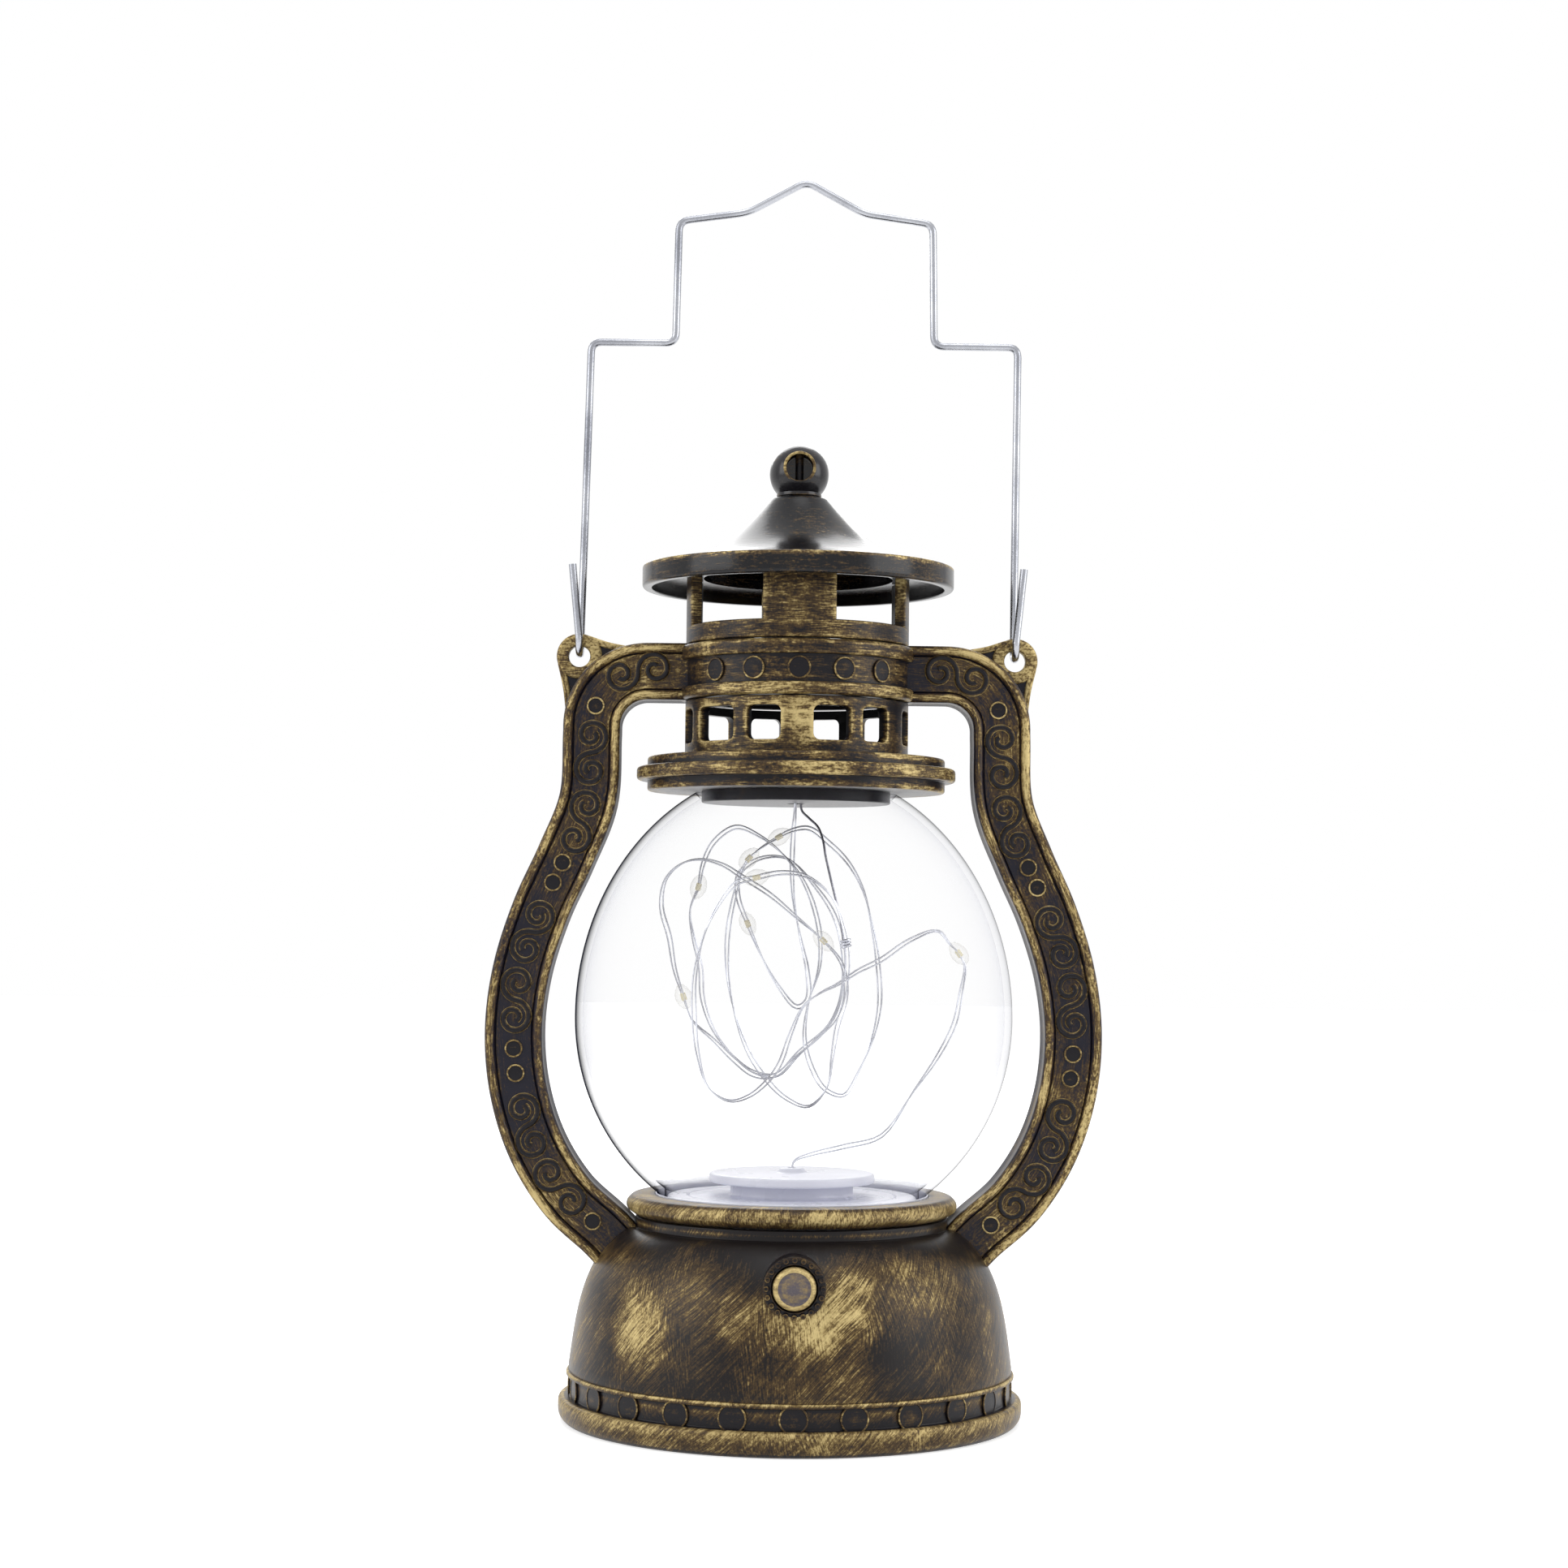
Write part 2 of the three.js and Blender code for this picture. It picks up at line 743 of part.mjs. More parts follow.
function globeProfile() {
  const innerBelly = globeBellyRadius - globeWall;
  const neckBore = globeNeckRadius - globeWall;
  const lower = ellipseArc(globeBellyRadius, globeLowerHalf, globeNeckRadius, globeBellyRadius);
  const upper = ellipseArc(
    globeBellyRadius, globeUpperHalf, globeBellyRadius, globeOpeningRadius, true,
  );
  const innerUpper = ellipseArc(
    innerBelly, globeUpperHalf - globeWall, globeMouthRadius, innerBelly, true,
  );
  const innerLower = ellipseArc(innerBelly, globeLowerHalf - globeWall, innerBelly, neckBore);
  return [
    [globeNeckRadius, seatBottom],
    ...lower,
    ...upper.slice(1),
    [globeMouthRadius, globeTop],
    ...innerUpper,
    ...innerLower.slice(1),
    [neckBore, seatBottom],
  ];
}

// Lamp disc on its hub, with a nub where the fairy string comes out
function lampDisc() {
  const discBottom = seatBottom + lampDiscHeight;
  const discTop = discBottom + lampDiscThickness;
  const bore = wireDiameter / 2 + gap;
  return revolved([
    [bore, seatBottom],
    [lampHubRadius, seatBottom],
    [lampHubRadius, discBottom],
    [lampDiscRadius, discBottom],
    [lampDiscRadius, discTop],
    [lampNubRadius, discTop],
    [lampNubRadius * 0.7, discTop + lampNubHeight],
    [bore, discTop + lampNubHeight],
  ], 24);
}

function globeCap() {
  const floor = capPlugBottom + capFloor;
  const bore = wireDiameter / 2 + tieWireDiameter + 2 * gap;
  return revolved([
    [bore, capPlugBottom],
    [capPlugRadius, capPlugBottom],
    [capPlugRadius, capBottom],
    [capStepRadius, capBottom],
    [capStepRadius, capDiscBottom],
    [capDiscRadius - capEdgeRound, capDiscBottom],
    [capDiscRadius, capDiscBottom + capEdgeRound],
    [capDiscRadius, capDiscTop - capEdgeRound],
    [capDiscRadius - capEdgeRound, capDiscTop],
    [capStepRadius, capDiscTop],
    [capStepRadius, capTop],
    [chimneyBore, capTop],
    [chimneyBore, capDiscBottom],
    [capPlugRadius - bodyWall, capDiscBottom],
    [capPlugRadius - bodyWall, floor],
    [bore, floor],
  ]);
}

// A chimney ring: its outline, a bore, and a spigot that drops into the ring below
function chimneyRing(bottom, top, outline) {
  return solid(revolved([
    [spigotBore, bottom - spigotDepth],
    [spigotRadius, bottom - spigotDepth],
    [spigotRadius, bottom],
    ...outline,
    [chimneyBore, top],
    [chimneyBore, bottom + spigotDepth],
    [spigotBore, bottom + spigotDepth],
  ]));
}

function windowShape(width) {
  const [w, h, r] = [width / 2, windowHeight / 2, windowCorner];
  const shape = new THREE.Shape();
  shape.absarc(w - r, h - r, r, 0, Math.PI / 2);
  shape.absarc(r - w, h - r, r, Math.PI / 2, Math.PI);
  shape.absarc(r - w, r - h, r, Math.PI, 1.5 * Math.PI);
  shape.absarc(w - r, r - h, r, 1.5 * Math.PI, 2 * Math.PI);
  shape.closePath();
  return shape;
}

// Vent gallery: each window has its own angle from the front and its own width
function ventGallery() {
  const ring = chimneyRing(galleryBottom, galleryTop, [
    [chimneyRadius, galleryBottom], [chimneyRadius, galleryTop],
  ]);
  const centre = galleryBottom + windowSill + windowHeight / 2;
  const holes = windows.map(([angle, width]) => {
    const hole = upright(windowShape(width), chimneyWall * 4, 1);
    return solid(hole.translate(0, -chimneyRadius, centre).rotateZ(radians(angle)));
  });
  return cut(ring, ...holes);
}

function collarOutline() {
  const lowerTop = collarBottom + collarLowerBead;
  const upperBottom = collarTop - collarUpperBead;
  const round = (collarBeadRadius - chimneyRadius) / 2;
  return [
    [chimneyRadius, collarBottom],
    [collarBeadRadius, collarBottom + round],
    [collarBeadRadius, lowerTop - round],
    [chimneyRadius, lowerTop],
    [chimneyRadius, upperBottom],
    [collarBeadRadius, upperBottom + round],
    [collarBeadRadius, collarTop - round],
    [chimneyRadius, collarTop],
  ];
}

function collarBand() {
  const ring = chimneyRing(collarBottom, collarTop, collarOutline());
  const centre = (collarBottom + collarLowerBead + collarTop - collarUpperBead) / 2;
  const boss = rod(
    collarBossDiameter / 2, chimneyRadius - chimneyWall / 2, chimneyRadius + collarBossProud, 8,
  ).rotateX(Math.PI / 2).translate(0, 0, centre);
  const bosses = collarBossAngles.flatMap((angle) => [angle, angle + 180]).map((angle) => (
    solid(boss.clone().rotateZ(radians(angle)))
  ));
  const slots = [-1, 1].map((side) => solid(collarTongue(side, gap)));
  return cut(joined(ring, ...bosses), ...slots);
}

// Upper chimney: a low drum whose four posts carry the roof
function upperChimney() {
  const ring = chimneyRing(drumBottom, postTop, [
    [chimneyRadius, drumBottom], [chimneyRadius, postTop],
  ]);
  const reach = 2 * chimneyRadius;
  const wedge = new THREE.Shape();
  wedge.moveTo(0, 0);
  for (const angle of [postHalfAngle, 45, 90 - postHalfAngle]) {
    wedge.lineTo(reach * Math.cos(radians(angle)), reach * Math.sin(radians(angle)));
  }
  wedge.closePath();
  const opening = new THREE.ExtrudeGeometry(wedge, { depth: 2 * postHeight, bevelEnabled: false });
  const openings = [0, 90, 180, 270].map((angle) => (
    solid(opening.clone().translate(0, 0, drumTop).rotateZ(radians(angle)))
  ));
  return cut(ring, ...openings);
}

// A point on the cone's slope, by its share of the way from the cone's top out to the brim
function conePoint(share, inset) {
  const radius = coneTopRadius + share * (roofRadius - coneTopRadius);
  return [radius, brimTop + coneHeight * (1 - share) ** coneSweep - inset];
}

function roof() {
  const bore = finialPlugRadius + gap;
  const lipBore = roofRadius - brimLipWidth;
  return revolved([
    [bore, coneTop - finialPlugDepth - gap],
    ...coneInnerShares.map((share) => conePoint(share, coneWall)),
    [roofCavityRadius, brimTop],
    [roofCavityRadius, roofCeiling],
    [lipBore, roofCeiling],
    [lipBore, brimBottom],
    [roofRadius - brimRound, brimBottom],
    [roofRadius, brimBottom + brimRound],
    [roofRadius, brimTop - brimRound],
    ...coneShares.map((share) => conePoint(share, 0)),
    [coneTopRadius, coneTop],
    [bore, coneTop],
  ]);
}

// Finial ball with a round recess front and back and an upright bar in each
function finial() {
  const start = Math.acos((finialCentre - finialBottom) / finialRadius);
  const ball = Array.from({ length: 7 }, (_, i) => {
    const angle = start + (Math.PI - start) * i / 6;
    return [finialRadius * Math.sin(angle), finialCentre - finialRadius * Math.cos(angle)];
  });
  const body = solid(revolved([
    [0, finialBottom - finialPlugDepth],
    [finialPlugRadius, finialBottom - finialPlugDepth],
    [finialPlugRadius, finialBottom],
    [finialNeck, finialBottom],
    ...ball.slice(1, -1),
    [0, finialCentre + finialRadius],
  ], smallFacets));
  const recessCentre = finialCentre + finialRecessLift;
  const recesses = [-1, 1].map((side) => {
    const far = side * (finialRadius + 1);
    const near = side * finialWeb / 2;
    const recess = rod(finialRecessRadius, Math.min(far, near), Math.max(far, near));
    return solid(alongY(recess, recessCentre));
  });
  const bar = rod(finialBarRadius, -finialRecessRadius - 0.5, finialRecessRadius + 0.5, 8);
  const bars = [-1, 1].map((side) => (
    solid(bar.clone().translate(0, side * (finialWeb / 2 + finialBarRadius / 2), recessCentre))
  ));
  return joined(cut(body, ...recesses), ...bars);
}

// Arms: a channelled bar from the collar band round the globe to the base. Each pair of a bend
// is the share of the way out or in and the share of the way down.
function armCentreline() {
  const at = (x, z) => new THREE.Vector3(x, 0, z);
  const rounds = 5;
  const corner = Array.from({ length: rounds + 1 }, (_, i) => {
    const angle = Math.PI / 2 * (1 - i / rounds);
    return at(
      armCornerX + armCornerRadius * Math.cos(angle),
      armCornerZ + armCornerRadius * Math.sin(angle),
    );
  });
  const swell = armBellyX - armWaistX;
  const fall = armWaistZ - armBellyZ;
  const sink = armBellyZ - armFootZ;
  const tuck = armBellyX - armFootX;
  const sweep = new THREE.CatmullRomCurve3([
    at(armUprightX, armCornerZ - 1),
    at(armWaistX, armWaistZ),
    ...armUpperBend.map(([out, down]) => at(armWaistX + swell * out, armWaistZ - fall * down)),
    at(armBellyX, armBellyZ),
    ...armLowerBend.map(([out, down]) => at(armBellyX - tuck * out, armBellyZ - sink * down)),
    at(armFootX, armFootZ),
    at(
      armFootX - armFootRun * Math.cos(radians(armFootSlope)),
      armFootZ - armFootRun * Math.sin(radians(armFootSlope)),
    ),
  ]);
  return [at(chimneyRadius, armTopZ), ...corner, ...sweep.getPoints(17).slice(1)];
}

function armSection() {
  const [depth, width] = [armDepth / 2, armWidth / 2];
  const floor = depth - armChannelDepth;
  const face = [
    [depth - armBead * 0.35, -width],
    [depth, -width + armBead * 0.35],
    [depth, -width + armBead * 0.75],
    [floor, -width + armBead],
    [floor, width - armBead],
    [depth, width - armBead * 0.75],
    [depth, width - armBead * 0.35],
    [depth - armBead * 0.35, width],
  ];
  const back = face.map(([y, w]) => [-y, w]).reverse();
  return new THREE.Shape([...face, ...back].map(([y, w]) => new THREE.Vector2(w, y)));
}

// The tongue at an arm's top sits in a slot of the collar band
function collarTongue(side, room) {
  const inner = chimneyBore + gap - 2 * room;
  const outer = chimneyRadius + 2;
  return block(
    outer - inner, tongueDepth + 2 * room,
    armTopZ - tongueWidth / 2 - room, armTopZ + tongueWidth / 2 + room,
    side * (inner + outer) / 2, 0,
  );
}

// The tongue at an arm's foot reaches through the dome's shoulder
function footTongue(side, room) {
  const piece = block(
    tongueWidth + 2 * room, tongueDepth + 2 * room, -tongueReach - room, tongueReach,
  );
  piece.rotateY(radians(90 - armFootSlope)).translate(armFootX, 0, armFootZ);
  return piece.scale(side, 1, 1);
}

function circleOutline(x, y, radius) {
  const shape = new THREE.Shape();
  shape.absarc(x, y, radius, 0, 2 * Math.PI);
  return shape;
}

function earWebShape() {
  const reach = armCornerRadius + armWidth / 2 - armBead / 2;
  const onArm = (degrees) => [
    armCornerX + reach * Math.cos(radians(degrees)),
    armCornerZ + reach * Math.sin(radians(degrees)),
  ];
  const shape = new THREE.Shape();
  shape.moveTo(...onArm(12));
  shape.lineTo(earOut + earRadius * 0.85, earZ - earRadius * 0.4);
  shape.lineTo(earOut - earRadius * 0.4, earZ + earRadius * 0.85);
  shape.lineTo(...onArm(75));
  shape.closePath();
  return shape;
}

function neighbourCutter() {
  const grown = baseOutline().map(([radius, z]) => [radius + gap, z + gap / 2]);
  const base = [[0, -1], ...grown.slice(1, -2), [neckRadius + gap, deckTop]];
  const seat = seatRingRadius + gap;
  return joined(
    solid(revolved([...base, [seat, deckTop], [seat, seatTop + gap], [0, seatTop + gap]])),
    solid(revolved([
      [0, collarBottom - gap],
      ...collarOutline().map(([radius, z]) => [radius + gap, z]),
      [0, collarTop],
    ])),
  );
}

function arm(side) {
  const bar = solid(swept(armSection(), armCentreline()));
  const ear = solid(upright(circleOutline(earOut, earZ, earRadius), earThickness, 8));
  const web = solid(upright(earWebShape(), earWebThickness, 1));
  const hole = upright(circleOutline(earOut, earZ, earHoleRadius), 2 * earThickness, 7);
  const body = cut(joined(bar, ear, web), solid(hole), neighbourCutter());
  const whole = joined(body, solid(collarTongue(1, 0)), solid(footTongue(1, 0)));
  return side > 0 ? whole : whole.mirror([1, 0, 0]);
}

// Bail: one bent wire, hooked through both ears from behind, its top a little to the right
function bailCorners(side) {
  const at = (x, rise) => new THREE.Vector3(side * x + bailLean, bailHookRadius, pivotZ + rise);
  const neckTop = bailShoulderRise + bailNeckRise;
  return [
    at(bailLegTop, bailShoulderRise),
    at(bailNeckHalf, bailShoulderRise),
    at(bailNeckTopHalf, neckTop),
    at(bailCrownHalf, neckTop + bailCrownRise),
  ];
}

function bailHook(side) {
  const turns = 8;
  const end = new THREE.Vector3(
    side * (earOut + bailHookLean), -bailHookRadius, pivotZ + bailHookEnd,
  );
  const hook = Array.from({ length: turns + 1 }, (_, i) => {
    const angle = Math.PI + Math.PI * i / turns;
    return new THREE.Vector3(
      side * earOut,
      bailHookRadius * Math.cos(angle),
      pivotZ + bailHookRadius * Math.sin(angle),
    );
  });
  return [end, ...hook];
}

function bail() {
  const apexRise = bailShoulderRise + bailNeckRise + bailCrownRise + bailApexRise;
  const apex = new THREE.Vector3(bailLean, bailHookRadius, pivotZ + apexRise);
  const left = bailHook(-1);
  const right = bailHook(1);
  const frame = bent([
    left.at(-1), ...bailCorners(-1), apex, ...bailCorners(1).reverse(), right.at(-1),
  ], bailBend);
  const route = [...left.slice(0, -1), ...frame, ...right.slice(0, -1).reverse()];
  return swept(circleShape(bailWire / 2, bailSides), route);
}

// Fairy string: out of the lamp disc's nub, up to the right, then five loose loops from the
// front to the back of the globe and up to the cap. Each point is given as X, Y and the height
// above the nub, for a globe of the layout's radius and height.
const layout = [
  [0.4, 0, 1.2], [3.4, -1, 2.6], [10, -3.5, 4.4], [17.3, -5, 6.7], [23.4, -5.8, 15.4],
  [27.8, -6.5, 21.9], [31.1, -7.2, 28.5], [32.4, -8, 35.2], [33, -8.2, 39.8], [31.8, -8.4, 42.3],
  [30, -8.6, 44.1], [27.7, -8.8, 46.6], [22.4, -9, 44.8], [16.7, -9.2, 40.9], [12.3, -9.4, 38.7],
  [8.5, -9.6, 36.2], [4.8, -9.8, 34.3], [1.8, -10, 31.9], [-0.7, -9.8, 26.4], [-2.7, -9.6, 20.7],
  [-4.9, -9.5, 17.5], [-8.4, -9.3, 14.5], [-12.4, -9.1, 13.4], [-16.4, -9, 15.8], [-18.6, -8.8, 22.4],
  [-19.4, -8.5, 29.5], [-19.4, -8.2, 37], [-18.1, -8, 44], [-15.3, -7.8, 50.7], [-11.6, -7.5, 55.4],
  [-7.6, -7.4, 56.6], [-2.7, -7.2, 57.6], [2.2, -7.1, 56.9], [7, -6.9, 53.1], [9.5, -6.6, 47.1],
  [10.3, -6.4, 40.9], [9.8, -6.2, 35.1], [8.1, -6, 29.4], [4.4, -5.8, 25.4], [0.4, -5.6, 21.8],
  [-3.6, -5.5, 18.2], [-7.6, -5.3, 18.2], [-11.4, -5.2, 20.9], [-15.6, -5, 24.9], [-19.8, -4.8, 28.7],
  [-21.6, -4.6, 33.3], [-23.4, -4.4, 38.7], [-24.5, -4.2, 44.9], [-26.1, -4, 50.7],
  [-25.4, -3.8, 56], [-22.5, -3.7, 59.1], [-18.8, -3.5, 60.1], [-14.3, -3.4, 59.1],
  [-10.3, -3.2, 56.7], [-5, -3, 53.4], [0.4, -2.8, 48.9], [5.7, -2.5, 44.4], [9.3, -2.3, 40],
  [10.2, -2.1, 34.2], [8.5, -1.9, 27.5], [7.6, -1.7, 21.6], [6.7, -1.5, 15.8], [3.1, -1.3, 12],
  [-1.4, -1.2, 13.6], [-5.4, -1, 17.4], [-9, -0.7, 22.9], [-11.7, -0.5, 30.5], [-13.1, -0.2, 38.2],
  [-13.1, 0, 45.8], [-11.9, 0.3, 52.9], [-10.4, 0.5, 58.3], [-9.1, 0.6, 60.5], [-6.3, 0.7, 62.9],
  [-3.2, 0.8, 64.8], [-1, 0.9, 66], [2.6, 1, 66.6], [6.4, 1.2, 63.9], [10.5, 1.4, 59.9],
  [13.6, 1.6, 54.3], [15.4, 1.8, 47.1], [16.6, 2.1, 39.9], [17, 2.4, 31.8], [15.5, 2.6, 24.6],
  [13, 2.8, 18.7], [10.1, 3, 14], [6.5, 3.1, 15.1], [3.8, 3.3, 19.2], [2.3, 3.5, 25],
  [2.9, 3.7, 31.8], [5.1, 4, 39.4], [4.9, 4.3, 47.1], [2, 4.6, 55.7], [-2.5, 4.8, 61.6],
  [-7.3, 5, 65.2], [-11.8, 5.2, 66.8], [-16.1, 5.3, 63.8], [-18.2, 5.5, 59.5], [-19.1, 5.7, 54.8],
  [-20.7, 5.8, 50.3], [-20, 6, 44.8], [-18.5, 6.2, 39], [-18, 6.4, 32.6], [-15.7, 6.7, 26.3],
  [-12.1, 6.8, 21.7], [-7.8, 7, 18.3], [-3.2, 7.2, 17.6], [1.3, 7.4, 22.1], [7.2, 7.7, 27.6],
  [9.7, 7.9, 34.8], [9.9, 8.2, 42.1], [8.1, 8.4, 49.4], [3.8, 8.7, 55.7], [-1.4, 8.9, 60.7],
  [-6.9, 9.1, 60.7], [-11, 9.3, 57.6], [-11.2, 9.4, 53], [-9.2, 9.6, 47.6], [-6.4, 9.8, 41.2],
  [-3, 10.1, 35.3], [0.8, 10.3, 31.1], [2.9, 10.3, 32.5], [2.9, 10.5, 38], [1.3, 10.8, 45.3],
  [0, 11, 52.1], [-0.4, 11.5, 57.7], [-0.4, 10.8, 61.4], [-0.3, 6.5, 66],
];

function stringRoute() {
  const nubTop = seatBottom + lampDiscHeight + lampDiscThickness + lampNubHeight;
  const across = globeBellyRadius / layoutRadius;
  const upwards = (capPlugBottom - nubTop) / layoutHeight;
  const lower = [deckUnderside - 3, deckTop, nubTop - lampNubHeight / 2];
  return [
    ...lower.map((z) => new THREE.Vector3(0, 0, z)),
    ...layout.map(([x, y, z]) => new THREE.Vector3(x * across, y * across, nubTop + z * upwards)),
    new THREE.Vector3(-0.1, 0.9, capPlugBottom - endRoom),
    new THREE.Vector3(-0.1, 0, capPlugBottom + capFloor),
  ];
}

const stringStations = stringRoute();

function fairyWire() {
  return swept(circleShape(wireDiameter / 2, wireSides), stringStations);
}

// Tie wire: hangs from the cap's bore beside the string's end, down to the loops. Each point is
// given as X, the way to the front and the way down from the cap's plug.
function tieWire() {
  const x = wireDiameter / 2 + gap + tieWireDiameter / 2;
  const hang = tieHang.map(([out, front, down]) => (
    new THREE.Vector3(out, -front, capPlugBottom - down)
  ));
  const top = [capFloor, -endRoom].map((rise) => new THREE.Vector3(x, 0, capPlugBottom + rise));
  return swept(circleShape(tieWireDiameter / 2, 5), [...top, ...hang]);
}

// A clear drop round the wire, with a tunnel that the wire runs through
function ledDrop(station) {
  const here = stringStations[station];
  const along = stringStations[station + 1].clone().sub(stringStations[station - 1]).normalize();
  const turn = new THREE.Quaternion().setFromUnitVectors(new THREE.Vector3(0, 0, 1), along);
  const drop = revolved([
    [0, -ledHalfLength],
    [ledRadius * ledTaper, -ledHalfLength * ledTaper],
    [ledRadius, 0],
    [ledRadius * ledTaper, ledHalfLength * ledTaper],
    [0, ledHalfLength],
  ], 6).applyQuaternion(turn).translate(here.x, here.y, here.z);
  const near = stringStations.slice(station - 2, station + 3);
  const tunnel = swept(circleShape(wireDiameter / 2 + ledWireRoom, wireSides), near);
  return cut(solid(drop), solid(tunnel));
}

const springGap = leastSelfDistance(springPoints(), 2 * springRadius) - springWire;
const stringGap = leastSelfDistance(stringStations, 2 * ledHalfLength) - wireDiameter;
console.log(`least gap of a contact spring to itself: ${springGap.toFixed(2)} mm`);
console.log(`least gap of the fairy string to itself: ${stringGap.toFixed(2)} mm`);

// Colours and finishes
const finish = (color, roughness, metalness, more = {}) => (
  new THREE.MeshStandardMaterial({ color, roughness, metalness, ...more })
);
const bronze = finish(0x6e5a36, 0.5, 0.45);
const darkBronze = finish(0x3a3128, 0.55, 0.35);
const gold = finish(0xb59a5c, 0.45, 0.5);
const clear = finish(0xdfe6f0, 0.06, 0, { transparent: true, opacity: 0.3 });
const white = finish(0xf0f0f5, 0.4, 0);
const silver = finish(0xc4c4c8, 0.3, 1);
const black = finish(0x222226, 0.6, 0);
const green = finish(0x2d6b3c, 0.6, 0);
const warm = finish(0xf2e6b0, 0.2, 0);

const lantern = new THREE.Group();

function add(name, shape, material, parent = lantern) {
  const geometry = shape.isBufferGeometry ? closed(shape) : geometryOf(shape);
  const mesh = new THREE.Mesh(geometry, material);
  mesh.name = name;
  parent.add(mesh);
  return mesh;
}

add('base_shell', baseShell(), bronze);
add('base_plate', basePlate(), black);
add('battery_door', batteryDoor(), black);
screwPlaces().forEach(([x, y], i) => {
  add(`base_screw_${i + 1}`, screw(), silver).position.set(x, y, 0);
});

// Neighbouring batteries point opposite ways, each with a spring at its flat end
const batteryBox = new THREE.Group();
batteryBox.position.z = batteryZ;
lantern.add(batteryBox);
for (let i = 0; i < batteryCount; i += 1) {
  const cell = new THREE.Group();
  cell.position.y = (i - (batteryCount - 1) / 2) * batteryPitch;
  cell.rotation.z = i % 2 === 0 ? 0 : Math.PI;
  batteryBox.add(cell);
  const springEnd = -boxLength / 2 + gap;
  const plateStart = boxLength / 2 - gap - contactThickness / 2;
  add(`contact_spring_${i + 1}`, contactSpring(), silver, cell).position.x = springEnd;
  add(`battery_${i + 1}`, battery(), green, cell).position.x = springEnd + springLength + gap;
  add(`contact_plate_${i + 1}`, contactPlate(), silver, cell).position.x = plateStart;
}

add('circuit_board', circuitBoard(), green);
add('push_switch', pushSwitch(), black);
add('switch_plunger', switchPlunger(), white);
add('push_button', pushButton(), gold);
add('button_collar', buttonCollar(), darkBronze);
add('globe_seat_ring', seatRing(), gold);
add('globe', revolved(globeProfile()), clear);
add('lamp_disc', lampDisc(), white);
add('globe_cap', globeCap(), bronze);
add('vent_gallery', ventGallery(), bronze);
add('collar_band', collarBand(), bronze);
add('upper_chimney', upperChimney(), bronze);
add('roof', roof(), darkBronze);
add('finial', finial(), darkBronze);
add('left_arm', arm(-1), bronze);
add('right_arm', arm(1), bronze);
add('bail', bail(), silver);
add('fairy_wire', fairyWire(), silver);
add('tie_wire', tieWire(), silver);
lampStations.forEach((station, i) => {
  add(`led_${i + 1}`, ledDrop(station), warm);
});

export default lantern;
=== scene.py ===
"""A battery lantern in the old kerosene-lamp shape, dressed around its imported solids.

Sizes in the classes are millimetres; meshes are made in metres. The front looks along -Y.
"""

import logging
import math
from dataclasses import dataclass, field
from enum import Enum
from typing import Any, Callable, Iterable, Protocol, Sequence

import bmesh
import bpy
from mathutils import Matrix, Vector


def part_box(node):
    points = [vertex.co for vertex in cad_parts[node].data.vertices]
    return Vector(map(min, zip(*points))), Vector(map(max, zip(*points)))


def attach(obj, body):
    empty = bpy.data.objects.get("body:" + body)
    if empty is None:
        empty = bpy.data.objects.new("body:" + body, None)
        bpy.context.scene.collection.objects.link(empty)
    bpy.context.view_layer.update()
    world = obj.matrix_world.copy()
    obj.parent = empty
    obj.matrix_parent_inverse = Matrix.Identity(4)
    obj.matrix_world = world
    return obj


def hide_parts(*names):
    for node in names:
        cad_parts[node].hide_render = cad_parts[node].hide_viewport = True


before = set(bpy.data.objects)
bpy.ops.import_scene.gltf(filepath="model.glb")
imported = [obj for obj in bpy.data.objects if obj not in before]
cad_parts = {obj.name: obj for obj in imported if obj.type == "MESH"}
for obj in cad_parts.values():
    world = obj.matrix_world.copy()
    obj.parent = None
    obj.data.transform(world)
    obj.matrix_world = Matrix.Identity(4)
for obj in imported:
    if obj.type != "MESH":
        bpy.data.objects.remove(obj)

log = logging.getLogger("lantern")

Colour = tuple[int, int, int]
Place = tuple[float, float, float]

# A millimetre in metres, and the points round a turned piece.
MM = 0.001
ROUND = 160
BODY = "lantern_body"


def linear(colour: Colour) -> tuple[float, ...]:
    """Turns a screen colour of 0 to 255 into the linear colour that a shader takes.

    Args:
        colour: Red, green and blue, 0 to 255.

    Returns:
        The linear colour with an alpha of 1.
    """
    shares = [value / 255 for value in colour]
    return *(c / 12.92 if c <= 0.04045 else ((c + 0.055) / 1.055) ** 2.4 for c in shares), 1.0


# Nodes


